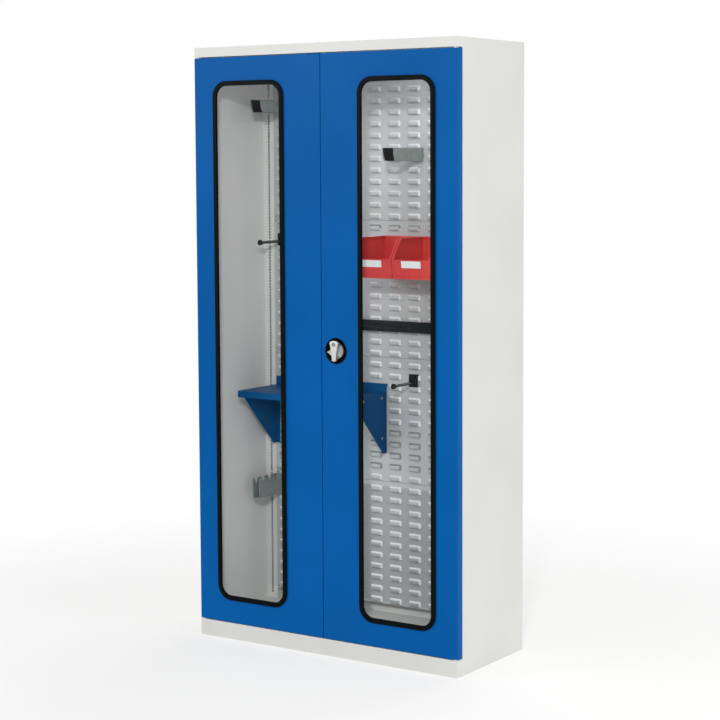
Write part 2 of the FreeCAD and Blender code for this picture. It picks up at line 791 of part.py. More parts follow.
def rod_points(side, low, high, tooth_low, tooth_high):
    """Outline of a lock rod whose edge next to the pinion is cut as a rack."""
    slope = math.tan(math.radians(PRESSURE_ANGLE))
    half = math.pi * S.gear_module / 4 - S.gear_backlash / 4
    root_half = half + DEDENDUM_SHARE * S.gear_module * slope
    tip_half = half - S.gear_module * slope
    root_x = S.lock_x + side * ROD_ROOT
    tip_x = S.lock_x + side * (PITCH_RADIUS - S.gear_module)
    outer_x = S.lock_x + side * (ROD_ROOT + S.rod_width)
    points = [(outer_x, low), (root_x, low)]
    pitch = math.pi * S.gear_module
    first = math.ceil((tooth_low - S.lock_z) / pitch - 0.5)
    last = math.floor((tooth_high - S.lock_z) / pitch - 0.5)
    for number in range(first, last + 1):
        middle = S.lock_z + (number + 0.5) * pitch
        points.append((root_x, middle - root_half))
        points.append((tip_x, middle - tip_half))
        points.append((tip_x, middle + tip_half))
        points.append((root_x, middle + root_half))
    return points + [(root_x, high), (outer_x, high)]


def build_rods():
    """Upper and lower lock rods, drawn back inside the door."""
    reach = RACK_SPARE_TEETH * math.pi * S.gear_module
    spare = RACK_TAIL_TEETH * math.pi * S.gear_module
    low = S.lock_z - ROD_TRAVEL - spare
    high = DOOR_TOP - S.rod_end_setback
    upper = new_body("lock_rod_upper")
    points = rod_points(-1, low, high, S.lock_z - ROD_TRAVEL - reach, S.lock_z + reach)
    pad(upper, "XZ", [line_loop(points)], ROD_FRONT, "Sizes.rod_thickness")
    register("lock_rod_upper", upper)
    low = DOOR_BOTTOM + S.rod_end_setback
    high = S.lock_z + ROD_TRAVEL + spare
    lower = new_body("lock_rod_lower")
    points = rod_points(1, low, high, S.lock_z - reach, S.lock_z + ROD_TRAVEL + reach)
    pad(lower, "XZ", [line_loop(points)], ROD_FRONT, "Sizes.rod_thickness")
    register("lock_rod_lower", lower)


def build_rod_guides():
    """Guide blocks on the door skin that the rods slide through."""
    guides = []
    ends = {
        "upper_end": (-1, DOOR_TOP - S.guide_end_distance - S.guide_height),
        "upper_middle": (-1, (DOOR_TOP + S.lock_z) / 2),
        "lower_middle": (1, (DOOR_BOTTOM + S.lock_z) / 2),
        "lower_end": (1, DOOR_BOTTOM + S.guide_end_distance),
    }
    back = ROD_FRONT + S.rod_thickness + S.seat_gap + S.case_sheet
    for name, (side, low) in ends.items():
        guide = new_body("rod_guide_" + name)
        near = S.lock_x + side * (ROD_ROOT - S.guide_margin)
        far = S.lock_x + side * (ROD_ROOT + S.rod_width + S.guide_margin)
        hole_near = S.lock_x + side * (ROD_ROOT - S.seat_gap)
        hole_far = S.lock_x + side * (ROD_ROOT + S.rod_width + S.seat_gap)
        left, right = sorted((near, far))
        hole_left, hole_right = sorted((hole_near, hole_far))
        block = box_loop(left, right, FRONT + S.door_sheet, back)
        hole_back = ROD_FRONT + S.rod_thickness + S.seat_gap
        hole = box_loop(hole_left, hole_right, ROD_FRONT - S.seat_gap, hole_back)
        pad(guide, "XY", [block, hole], low, "Sizes.guide_height")
        guides.append(guide)
    join("rod_guides", guides)


def build_keepers():
    """Slotted keeper plates that the rods enter in the roof and the base."""
    keepers = []
    ends = {
        "upper": (-1, ROOF_UNDER + S.carcass_sheet),
        "lower": (1, S.plinth_strip - S.carcass_sheet - S.keeper_thickness),
    }
    for name, (side, low) in ends.items():
        keeper = new_body("keeper_" + name)
        middle = S.lock_x + side * (ROD_ROOT + S.rod_width / 2)
        left = middle - S.keeper_length / 2
        near = FRONT + S.carcass_sheet
        plate = box_loop(left, left + S.keeper_length, near, near + S.keeper_depth)
        pad(keeper, "XY", [plate, rod_slot(side)], low, "Sizes.keeper_thickness")
        keepers.append(keeper)
    join("keeper_plates", keepers)


def knob_outline():
    """Outline of the grip bar: wide and round at its top, tapering to a narrow round foot."""
    top = S.lock_z + S.knob_bar_half
    low = S.lock_z - S.knob_bar_half
    shoulder = top - S.knob_bar_round
    ankle = low + S.knob_bar_round
    wide = S.knob_bar_top
    slim = S.knob_bar_bottom
    top_left = vector(S.lock_x - wide, shoulder)
    top_right = vector(S.lock_x + wide, shoulder)
    low_left = vector(S.lock_x - slim, ankle)
    low_right = vector(S.lock_x + slim, ankle)
    return [
        Part.Arc(top_right, vector(S.lock_x, top), top_left),
        Part.LineSegment(top_left, low_left),
        Part.Arc(low_left, vector(S.lock_x, low), low_right),
        Part.LineSegment(low_right, top_right),
    ]


def build_knob():
    """Turn knob: a disc in the dish with a grip bar across it."""
    body = new_body("turn_knob")
    disc = [circle_loop(S.lock_x, S.lock_z, S.knob_disc_radius)]
    pad(body, "XZ", disc, FRONT + S.knob_disc_front, "Sizes.knob_disc_back - Sizes.knob_disc_front")
    bar_depth = "Sizes.knob_bar_proud + Sizes.knob_disc_front + Sizes.knob_edge_round"
    bar = pad(body, "XZ", [knob_outline()], FRONT - S.knob_bar_proud, bar_depth)
    doc.recompute()
    front_edges = []
    for number, edge in enumerate(bar.Shape.Edges, start=1):
        box = edge.BoundBox
        if box.YMax < FRONT - S.knob_bar_proud + S.fit_gap:
            front_edges.append("Edge%d" % number)
    rounding = body.newObject("PartDesign::Fillet", "turn_knob_rounding")
    rounding.Base = (bar, front_edges)
    rounding.setExpression("Radius", "Sizes.knob_edge_round")
    bore = [circle_loop(S.lock_x, S.lock_z + S.cylinder_above, S.cylinder_radius + S.fit_gap)]
    start = FRONT - S.knob_bar_proud - S.overrun
    pocket(body, "XZ", bore, start, "Sizes.overrun + Sizes.cylinder_length - Sizes.cylinder_proud")
    register("turn_knob", body)
    plug = new_body("key_cylinder")
    loop = [circle_loop(S.lock_x, S.lock_z + S.cylinder_above, S.cylinder_radius)]
    face = FRONT - S.knob_bar_proud - S.cylinder_proud
    pad(plug, "XZ", loop, face, "Sizes.cylinder_length - Sizes.seat_gap")
    half = S.key_slot_width / 2
    middle = S.lock_z + S.cylinder_above
    slot = box_loop(S.lock_x - half, S.lock_x + half, middle - S.key_slot_half, middle + S.key_slot_half)
    pocket(plug, "XZ", [slot], face - S.overrun, "Sizes.overrun + Sizes.key_slot_depth")
    register("key_cylinder", plug)


def build_small_parts():
    """Catches for the left door, closing buffers and feet inside the plinth."""
    near = DOOR_BACK + S.seat_gap
    outline = box_loop(-S.catch_from_seam - S.catch_length, -S.catch_from_seam, near, near + S.catch_depth)
    catches = []
    for name, low in (("upper", ROOF_UNDER - S.catch_height), ("lower", S.plinth_strip)):
        catch = new_body("magnet_catch_" + name)
        pad(catch, "XY", [outline], low, "Sizes.catch_height")
        catches.append(catch)
    join("magnet_catches", catches)
    buffers = []
    feet = []
    heights = (S.plinth_strip + S.buffer_end_distance, ROOF_UNDER - S.buffer_end_distance)
    for sign in (-1, 1):
        for number, height in enumerate(heights):
            name = "buffer_%d_%d" % (sign + 1, number)
            place = (sign * (HALF_WIDTH - S.buffer_inset), DOOR_BACK + S.seat_gap, height)
            length = "Sizes.door_back_gap - Sizes.seat_gap"
            buffers.append(cylinder(name, "Sizes.buffer_radius", length, place, (0, 1, 0)))
        for number, place_y in enumerate((FRONT + S.leveller_inset, BACK - S.leveller_inset)):
            place_x = sign * (HALF_WIDTH - S.leveller_inset)
            name = "foot_%d_%d" % (sign + 1, number)
            place = (place_x, place_y, 0)
            disc = cylinder(name, "Sizes.leveller_radius", "Sizes.leveller_height", place, (0, 0, 1))
            stem_length = "Sizes.plinth_strip - Sizes.carcass_sheet - Sizes.leveller_height"
            place = (place_x, place_y, S.leveller_height)
            stem = cylinder(name + "_stem", "Sizes.leveller_stem_radius", stem_length, place, (0, 0, 1))
            feet += [disc, stem]
    join("door_buffers", buffers)
    join("levelling_feet", feet)


def build_shelf():
    """Steel shelf: a folded deck that hooks over a row of louvres, on two end brackets."""
    deck = new_body("shelf_deck")
    left = -PANEL_EDGE + S.shelf_side_margin
    right = left + S.shelf_width
    top = lip_top(SHELF_ROW) - S.shelf_drop
    front = HANG_Y - S.shelf_depth
    hook_top = lip_top(SHELF_ROW) + S.seat_gap + S.hook_sheet
    path = [(front, top - S.shelf_edge), (front, top), (HANG_Y - S.hook_sheet, top)]
    path += hook_path(hook_top, S.hook_sheet)
    outline = strip_loop(path[::-1], S.hook_sheet)
    pad(deck, "YZ", [outline], left, "Sizes.shelf_width")
    register("shelf_deck", deck)
    under = top - S.hook_sheet
    low = top - S.bracket_height
    nose = front + S.bracket_front_inset
    shape = [
        (nose, under),
        (nose, top - S.bracket_nose),
        (HANG_Y - S.bracket_toe, low),
        (HANG_Y, low),
        (HANG_Y, under),
    ]
    places = {
        "left": (left, left, left + S.bracket_flange),
        "right": (right - S.hook_sheet, right - S.bracket_flange, right),
    }
    for side, (plate_at, flange_left, flange_right) in places.items():
        bracket = new_body("shelf_bracket_" + side)
        pad(bracket, "YZ", [line_loop(shape)], plate_at, "Sizes.hook_sheet")
        flange = box_loop(flange_left, flange_right, HANG_Y - S.hook_sheet, HANG_Y)
        pad(bracket, "XY", [flange], low, "Sizes.bracket_height - Sizes.hook_sheet")
        register("shelf_bracket_" + side, bracket)


def build_bin(side, left):
    """Open fronted bin: walls of one thickness, a stiff rim, a rear hook and a label card."""
    body = new_body("part_bin_" + side)
    right = left + S.bin_width
    top = lip_top(BIN_ROW) + S.seat_gap + S.hook_sheet
    low = top - S.bin_height
    front = HANG_Y - S.bin_depth
    wall = S.bin_wall
    mouth = low + S.bin_front
    outer = [
        (HANG_Y, low),
        (HANG_Y, top),
        (front + S.bin_mouth_run, top),
        (front, mouth),
        (front + S.bin_base_run, low),
    ]
    pad(body, "YZ", [line_loop(outer)], left, "Sizes.bin_width")
    inner_front = front + wall
    inner = [
        (HANG_Y - wall, low + wall),
        (HANG_Y - wall, top + S.overrun),
        (front - S.overrun, top + S.overrun),
        (front - S.overrun, mouth),
        (inner_front, mouth),
        (inner_front + S.bin_base_run, low + wall),
    ]
    pocket(body, "YZ", [line_loop(inner)], left + wall, "Sizes.bin_width - 2 * Sizes.bin_wall")
    rim_low = top - S.bin_rim_height
    for edge in (left, right - S.bin_rim):
        rim = line_loop([
            (HANG_Y, rim_low),
            (HANG_Y, top),
            (front + S.bin_mouth_run, top),
            (front, mouth),
            (front, mouth - S.bin_rim_height),
            (front + S.bin_mouth_run, rim_low),
        ])
        pad(body, "YZ", [rim], edge, "Sizes.bin_rim")
    hook = strip_loop(hook_path(top, wall)[::-1], S.hook_sheet)
    pad(body, "YZ", [hook], left + wall, "Sizes.bin_width - 2 * Sizes.bin_wall")
    register("part_bin_" + side, body)
    card = new_body("bin_label_" + side)
    middle = (left + right) / 2
    slope = S.bin_base_run / S.bin_front
    card_low = low + S.label_above_base
    card_front = front + slope * (mouth - card_low)
    card_top = card_low + S.label_height
    card_top_front = front + slope * (mouth - card_top)
    thick = S.label_thickness
    shape = [
        (card_front, card_low),
        (card_top_front, card_top),
        (card_top_front - thick, card_top),
        (card_front - thick, card_low),
    ]
    pad(card, "YZ", [line_loop(shape)], middle - S.label_width / 2, "Sizes.label_width")
    register("bin_label_" + side, card)


def build_holder(side, place):
    """Hammer holder: two arms and a back plate folded from one strip, with a hook."""
    body = new_body("hammer_holder_" + side)
    width = S.holder_gap + 2 * S.hook_sheet
    middle = column_middle(place["column"]) + place["shift_share"] * S.louvre_pitch
    left = middle - width / 2
    right = middle + width / 2
    lip = lip_top(place["row"])
    low = lip - place["bottom_share"] * S.holder_height
    tip = HANG_Y - S.holder_length
    path = [(left, tip), (left, HANG_Y), (right, HANG_Y), (right, tip)]
    pad(body, "XY", [strip_loop(path[::-1], S.hook_sheet)], low, "Sizes.holder_height")
    tip_cut = line_loop([
        (tip - S.overrun, low - S.overrun),
        (tip + S.holder_tip, low - S.overrun),
        (tip - S.overrun, low + S.holder_height - S.holder_tip),
    ])
    cut_width = "Sizes.holder_gap + 2 * Sizes.hook_sheet + 2 * Sizes.overrun"
    pocket(body, "YZ", [tip_cut], left - S.overrun, cut_width)
    add_hook(body, lip, left, "Sizes.holder_gap + 2 * Sizes.hook_sheet")
    return register("hammer_holder_" + side, body)


def add_hook(body, lip, left, length):
    """Hook that leaves a fitting's back plate, passes over a lip and drops behind it."""
    top = lip + S.seat_gap + S.hook_sheet
    path = hook_path(top, S.hook_sheet)
    pad(body, "YZ", [strip_loop(path[::-1], S.hook_sheet)], left, length)


def build_comb():
    """Comb holder: a channel whose two walls have V notches, on a hooked end plate."""
    body = new_body("comb_holder")
    left = -PANEL_EDGE
    right = left + S.comb_width
    high = lip_top(COMB_ROW) + S.seat_gap + S.hook_sheet
    low = high - S.comb_height
    path = [(left, high), (left, low), (right, low), (right, high)]
    front = HANG_Y - S.comb_length
    pad(body, "XZ", [strip_loop(path, S.hook_sheet)], front, "Sizes.comb_length")
    pad(body, "XZ", [box_loop(left, right, low, high)], HANG_Y - S.hook_sheet, "Sizes.hook_sheet")
    notches = []
    count = int((S.comb_length - S.hook_sheet) // S.comb_notch_pitch)
    for number in range(count):
        middle = front + (number + 0.5) * S.comb_notch_pitch
        notches.append(line_loop([
            (middle - S.comb_notch_half, high + S.overrun),
            (middle, high - S.comb_notch_depth),
            (middle + S.comb_notch_half, high + S.overrun),
        ]))
    pocket(body, "YZ", notches, left - S.overrun, "Sizes.comb_width + 2 * Sizes.overrun")
    add_hook(body, lip_top(COMB_ROW), left, "Sizes.comb_width")
    return register("comb_holder", body)


def build_peg(label, place, length):
    """Hanging peg: a small hooked plate, a round bar and a cap on its end."""
    plate = new_body(label + "_plate")
    middle = column_middle(place["column"])
    lip = lip_top(place["row"])
    top = lip + S.seat_gap + S.hook_sheet
    left = middle - S.peg_plate_half
    loop = box_loop(left, left + 2 * S.peg_plate_half, HANG_Y - S.hook_sheet, HANG_Y)
    pad(plate, "XY", [loop], top - S.peg_plate_height, "Sizes.peg_plate_height")
    add_hook(plate, lip, left, "2 * Sizes.peg_plate_half")
    bar_length = length + " - Sizes.hook_sheet"
    height = lip - S.peg_drop
    place_y = HANG_Y - S.hook_sheet
    bar = cylinder(label + "_bar", "Sizes.peg_radius", bar_length, (middle, place_y, height), (0, -1, 0))
    reach = float(sheet.get(length.replace("Sizes.", "")))
    tip_y = HANG_Y - reach + S.peg_cap_length
    tip = (middle, tip_y, height)
    cap = cylinder(label + "_cap", "Sizes.peg_cap_radius", "Sizes.peg_cap_length", tip, (0, -1, 0))
    join(label, [plate, bar, cap])


def build_rail():
    """Magnetic tool rail hung on one row of louvres."""
    body = new_body("magnet_rail")
    lip = lip_top(RAIL_ROW)
    low = lip - S.rail_hook_above
    outline = box_loop(HANG_Y - S.rail_depth, HANG_Y, low, low + S.rail_height)
    pad(body, "YZ", [outline], S.rail_left, "Sizes.rail_length")
    add_hook(body, lip, S.rail_left, "Sizes.rail_length")
    return register("magnet_rail", body)


def build_all():
    """Make every sub-part in order."""
    for side, sign in (("left", -1), ("right", 1)):
        build_side(side, sign)
        build_upright(side, sign)
        build_door(side, sign)
        build_gasket(side, sign)
        build_pane(side, sign)
        build_stiffener(side, sign)
        build_hinge_pins(side, sign)
        build_holder(side, HOLDER_PLACES[side])
    build_roof()
    build_base()
    build_back()
    first_row = 0
    for number, label in enumerate(PANEL_LABELS):
        rows = math.ceil((LOUVRE_ROWS - first_row) / (len(PANEL_LABELS) - number))
        build_louvre_panel(label, first_row, rows)
        first_row += rows
    build_hinge_seats()
    build_dish()
    build_lock_case()
    build_spindle()
    build_rods()
    build_rod_guides()
    build_keepers()
    build_knob()
    build_small_parts()
    build_shelf()
    build_bin("left", S.bin_left_edge)
    build_bin("right", S.bin_left_edge + S.bin_width + S.bin_spacing)
    build_comb()
    build_peg("tool_peg", PEG_PLACES["tool_peg"], "Sizes.tool_peg_length")
    build_peg("tape_peg", PEG_PLACES["tape_peg"], "Sizes.tape_peg_length")
    build_rail()


def check_and_write():
    """Stop if any object failed or any sub-part is empty or broken, then write the files."""
    doc.recompute()
    for item in doc.Objects:
        if "Invalid" in item.State or "Error" in item.State:
            raise RuntimeError("%s failed: %s" % (item.Label, item.State))
    for label, item in NODES.items():
        shape = item.Shape
        if shape.isNull() or not shape.isValid() or shape.Volume <= 0:
            raise RuntimeError("%s has no sound shape" % label)
    os.makedirs("parts", exist_ok=True)
    for label, item in NODES.items():
        item.Shape.exportStep("parts/%s.step" % label)
        print("%-24s solids %d volume %.0f" % (label, len(item.Shape.Solids), item.Shape.Volume))


build_all()
check_and_write()
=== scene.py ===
"""Looks of a sheet-steel tool cabinet with two windowed doors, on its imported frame.

Sizes are in millimetres here and become metres when a mesh is finished. X runs
to the right, Y to the back and Z up; the door fronts stand at FRONT.
"""

from __future__ import annotations

import json
import logging
import math
from dataclasses import dataclass
from enum import Enum
from functools import cache
from itertools import pairwise
from typing import Any, Sequence

import bmesh
import bpy
from mathutils import Matrix, Vector

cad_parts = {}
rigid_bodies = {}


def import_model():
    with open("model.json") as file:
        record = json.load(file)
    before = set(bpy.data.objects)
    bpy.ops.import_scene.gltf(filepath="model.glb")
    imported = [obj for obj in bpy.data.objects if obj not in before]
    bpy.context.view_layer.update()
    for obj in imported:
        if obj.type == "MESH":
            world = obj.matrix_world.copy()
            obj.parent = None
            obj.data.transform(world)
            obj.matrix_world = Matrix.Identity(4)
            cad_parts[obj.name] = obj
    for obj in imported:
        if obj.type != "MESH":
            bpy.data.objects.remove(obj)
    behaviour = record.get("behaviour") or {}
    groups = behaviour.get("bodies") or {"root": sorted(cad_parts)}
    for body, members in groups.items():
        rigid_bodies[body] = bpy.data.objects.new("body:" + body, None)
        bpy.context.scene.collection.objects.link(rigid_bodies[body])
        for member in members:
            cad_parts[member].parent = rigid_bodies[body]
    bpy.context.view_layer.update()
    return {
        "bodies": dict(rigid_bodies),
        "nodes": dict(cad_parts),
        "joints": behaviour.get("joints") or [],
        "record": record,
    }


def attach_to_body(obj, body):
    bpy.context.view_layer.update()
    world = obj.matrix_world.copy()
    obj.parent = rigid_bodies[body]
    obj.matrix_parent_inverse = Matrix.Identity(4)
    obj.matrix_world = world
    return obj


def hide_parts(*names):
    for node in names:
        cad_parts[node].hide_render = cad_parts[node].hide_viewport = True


LOG = logging.getLogger("tool_cabinet")
MM = 0.001
FRONT = -205.0
# Points of a mesh in metres that lie closer than this are one.
WELD = 1e-5
# Stands a flat piece up, to face the front.
UPRIGHT = (math.radians(90), 0.0, 0.0)
# Node settings that come back often.
COLOURS = {"data_type": "RGBA"}
TIMES = {"operation": "MULTIPLY"}
EITHER = {"operation": "MAXIMUM"}

Point = tuple[float, float, float]
Flat = tuple[float, float]
Socket = bpy.types.NodeSocket


# ---------------------------------------------------------------- small tools


def linear(colour: str) -> tuple[float, float, float, float]:
    """Turns an sRGB hex colour into linear light.

    Args:
        colour: Colour as "#RRGGBB".

    Returns:
        Red, green, blue and an alpha of 1.
    """
    parts = []
    for start in (1, 3, 5):
        value = int(colour[start : start + 2], 16) / 255
        parts.append(value / 12.92 if value <= 0.04045 else ((value + 0.055) / 1.055) ** 2.4)
    return (parts[0], parts[1], parts[2], 1.0)


def add_node(
    tree: bpy.types.NodeTree,
    kind: str,
    sockets: dict[str | int, Any] | None = None,
    settings: dict[str, Any] | None = None,
    out: str | int = 0,
) -> Socket | None:
    """Adds a node with its settings, constants and links.

    Args:
        tree: Node tree that gets the node.
        kind: Blender's name of the node type.
        sockets: Input by name or index: an output socket is linked, a value is set.
        settings: Attributes of the node.
        out: Output that is wanted.

    Returns:
        That output, or None from a node without outputs.
    """
    node = tree.nodes.new(kind)
    for key, value in (settings or {}).items():
        setattr(node, key, value)
    for key, value in (sockets or {}).items():
        if isinstance(value, Socket):
            tree.links.new(value, node.inputs[key])
        else:
            node.inputs[key].default_value = value
    return node.outputs[out] if node.outputs else None


def new_material(name: str) -> tuple[bpy.types.Material, bpy.types.NodeTree, Socket]:
    """Starts a node material.

    Args:
        name: Its name.

    Returns:
        The material, its tree and its Object coordinates.
    """
    made = bpy.data.materials.new(name)
    made.use_nodes = True
    tree = made.node_tree
    tree.nodes.clear()
    return made, tree, add_node(tree, "ShaderNodeTexCoord", out="Object")


def rounded_outline(low: Flat, high: Flat, radius: float, steps: int) -> list[Flat]:
    """Points of a rounded rectangle, anticlockwise from the lower right corner.

    Args:
        low: Lower left corner.
        high: Upper right corner.
        radius: Corner radius.
        steps: Segments in each corner.

    Returns:
        Points in order.
    """
    x0, z0, x1, z1 = low[0] + radius, low[1] + radius, high[0] - radius, high[1] - radius
    points = []
    for x, z, start in ((x1, z0, -90), (x1, z1, 0), (x0, z1, 90), (x0, z0, 180)):
        for step in range(steps + 1):
            turn = math.radians(start + 90 * step / steps)
            points.append((x + radius * math.cos(turn), z + radius * math.sin(turn)))
    return points


def link(name: str, data: bpy.types.ID) -> bpy.types.Object:
    """Adds an object with this data to the scene."""
    made = bpy.data.objects.new(name, data)
    bpy.context.scene.collection.objects.link(made)
    return made


def shade(data: bpy.types.Mesh, smooth: float) -> None:
    """Shades a mesh smooth, but keeps edges sharp above an angle in degrees."""
    data.polygons.foreach_set("use_smooth", [True] * len(data.polygons))
    data.set_sharp_from_angle(angle=math.radians(smooth))


def evaluated(piece: bpy.types.Object) -> bpy.types.Mesh:
    """Gives a new mesh of a piece with its modifiers applied."""
    graph = bpy.context.evaluated_depsgraph_get()
    return bpy.data.meshes.new_from_object(
        piece.evaluated_get(graph), preserve_all_data_layers=True, depsgraph=graph
    )


def attach(piece: bpy.types.Object, body: str, replaces: str = "") -> None:
    """Hands a finished piece to its body.

    Args:
        piece: The piece.
        body: Name of the body that carries it.
        replaces: CAD node that it stands for, if any.
    """
    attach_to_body(piece, body)
    if replaces:
        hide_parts(replaces)
    LOG.info("%s rides on %s with %d faces", piece.name, body, len(piece.data.polygons))


class Shape:
    """A mesh in the making, in millimetres, that becomes one finished piece."""

    def __init__(self) -> None:
        """Starts with an empty mesh."""
        self.mesh = bmesh.new()

    def block(self, low: Point, high: Point, bevel: float) -> None:
        """Adds a box whose edges are rounded.

        Args:
            low: Lowest corner.
            high: Highest corner.
            bevel: Radius of the edges.
        """
        made = bmesh.ops.create_cube(self.mesh, size=1.0)["verts"]
        for vert in made:
            vert.co = Vector((a + b) / 2 + v * (b - a) for a, b, v in zip(low, high, vert.co))
        self.bevel({edge for vert in made for edge in vert.link_edges}, bevel)

    def bevel(self, edges: set[bmesh.types.BMEdge], radius: float) -> None:
        """Rounds some edges in two segments."""
        bmesh.ops.bevel(
            self.mesh, geom=list(edges), offset=radius, segments=2, profile=0.5, affect="EDGES"
        )

    def loft(self, rings: Sequence[Sequence[Point]], caps: bool = True) -> None:
        """Joins closed rings of points with quads.

        Args:
            rings: Rings with the same number of points.
            caps: True to close the first and the last ring.
        """
        made = [[self.mesh.verts.new(point) for point in ring] for ring in rings]
        for a, b in pairwise(made):
            for i, corner in enumerate(a):
                j = (i + 1) % len(a)
                self.mesh.faces.new((corner, a[j], b[j], b[i]))
        if caps:
            self.mesh.faces.new(made[0][::-1])
            self.mesh.faces.new(made[-1])

    def lathe(self, profile: Sequence[Flat], centre: Point, steps: int) -> None:
        """Turns a profile about a line along Y.

        Args:
            profile: Radius and depth of each point; a radius of 0 closes a pole.
            centre: Point on the axis that depths start from.
            steps: Segments round the axis.
        """
        rings = []
        for radius, depth in profile:
            turns = [math.tau * step / steps for step in range(steps if radius > 0 else 1)]
            rings.append(
                [
                    self.mesh.verts.new(
                        (
                            centre[0] + radius * math.cos(turn),
                            centre[1] + depth,
                            centre[2] + radius * math.sin(turn),
                        )
                    )
                    for turn in turns
                ]
            )
        for a, b in pairwise(rings):
            for i in range(steps):
                j = (i + 1) % steps
                if len(a) == 1:
                    self.mesh.faces.new((a[0], b[j], b[i]))
                elif len(b) == 1:
                    self.mesh.faces.new((a[i], a[j], b[0]))
                else:
                    self.mesh.faces.new((a[i], a[j], b[j], b[i]))

    def prism(self, outline: Sequence[Flat], y0: float, y1: float, bevel: float) -> None:
        """Adds a plate cut along an outline in X and Z.

        Args:
            outline: Corners in X and Z.
            y0: Front face.
            y1: Back face.
            bevel: Radius of the rims.
        """
        front, back = ([self.mesh.verts.new((x, y, z)) for x, z in outline] for y in (y0, y1))
        faces = [self.mesh.faces.new(front), self.mesh.faces.new(back[::-1])]
        for i, corner in enumerate(front):
            j = (i + 1) % len(front)
            self.mesh.faces.new((front[j], corner, back[i], back[j]))
        self.bevel({edge for face in faces for edge in face.edges}, bevel)

    def finish(
        self, name: str, material: bpy.types.Material, smooth: float = 35.0, outward: bool = True
    ) -> bpy.types.Object:
        """Turns the mesh into an object at the origin.

        Args:
            name: Name of the piece.
            material: Its finish.
            smooth: Angle in degrees above which an edge stays sharp.
            outward: True to turn all faces outwards.

        Returns:
            The finished object.
        """
        if outward:
            bmesh.ops.remove_doubles(self.mesh, verts=self.mesh.verts, dist=0.002)
            bmesh.ops.recalc_face_normals(self.mesh, faces=self.mesh.faces)
        for vert in self.mesh.verts:
            vert.co *= MM
        data = bpy.data.meshes.new(name)
        self.mesh.to_mesh(data)
        self.mesh.free()
        data.materials.append(material)
        shade(data, smooth)
        return link(name, data)

    def ride(
        self, name: str, body: str, slot: str, replaces: str = "", smooth: float = 35.0
    ) -> None:
        """Finishes the mesh as a piece that rides on a body.

        Args:
            name: Name of the piece.
            body: Body that carries it.
            slot: Material slot, which gives its finish.
            replaces: CAD node that it stands for, if any.
            smooth: Angle in degrees above which an edge stays sharp.
        """
        attach(self.finish(name, finish_of(slot), smooth), body, replaces)


class Tree:
    """A Geometry Nodes tree with named inputs, run once and turned into a plain mesh."""

    def __init__(self, name: str) -> None:
        """Starts a tree with a geometry output, named after its piece."""
        self.name = name
        self.tree = bpy.data.node_groups.new(name, "GeometryNodeTree")
        self.values: dict[str, Any] = {}
        self.tree.interface.new_socket(
            "Geometry", in_out="OUTPUT", socket_type="NodeSocketGeometry"
        )
        self.entry = self.tree.nodes.new("NodeGroupInput")

    def value(self, name: str, kind: str, value: Any) -> Socket:
        """Adds a named input.

        Args:
            name: Name of the input.
            kind: Socket type after "NodeSocket", such as Float.
            value: Value that the modifier gets.

        Returns:
            The input's socket inside the tree.
        """
        item = self.tree.interface.new_socket(
            name, in_out="INPUT", socket_type="NodeSocket" + kind
        )
        self.values[item.identifier] = value
        return self.entry.outputs[name]

    def node(self, kind: str, *rest: Any, out: str | int = 0) -> Socket:
        """Adds a node to the tree, as add_node does."""
        return add_node(self.tree, kind, *rest, out=out)

    def run(
        self,
        geometry: Socket,
        slot: str,
        helpers: Sequence[bpy.types.Object],
        smooth: float = 35.0,
    ) -> bpy.types.Object:
        """Realises the geometry with its finish and makes it a plain piece.

        Args:
            geometry: Socket that holds the result.
            slot: Material slot, which gives its finish.
            helpers: Objects that the tree reads, removed afterwards.
            smooth: Angle in degrees above which an edge stays sharp.

        Returns:
            The finished object.
        """
        finish = self.value("Finish", "Material", finish_of(slot))
        solid = self.node("GeometryNodeRealizeInstances", {0: geometry})
        dressed = self.node("GeometryNodeSetMaterial", {"Geometry": solid, "Material": finish})
        end = self.tree.nodes.new("NodeGroupOutput")
        self.tree.links.new(dressed, end.inputs[0])
        carrier = link(self.name + "_carrier", bpy.data.meshes.new(self.name + "_carrier"))
        modifier = carrier.modifiers.new("Pattern", "NODES")
        modifier.node_group = self.tree
        for identifier, value in self.values.items():
            modifier[identifier] = value
        data = evaluated(carrier)
        carrier.modifiers.remove(modifier)
        for helper in (carrier, *helpers):
            bpy.data.objects.remove(helper)
        data.name = self.name
        shade(data, smooth)
        return link(self.name, data)


# ------------------------------------------------------------------- finishes


class Surface(Enum):
    """How a surface was made, which gives its fine relief."""

    POWDER = "powder coated"
    MOULDED = "injection moulded"
    EXTRUDED = "extruded"
    PLATED = "zinc plated"
    CAST = "die cast and plated"
    PAPER = "pressed paper"


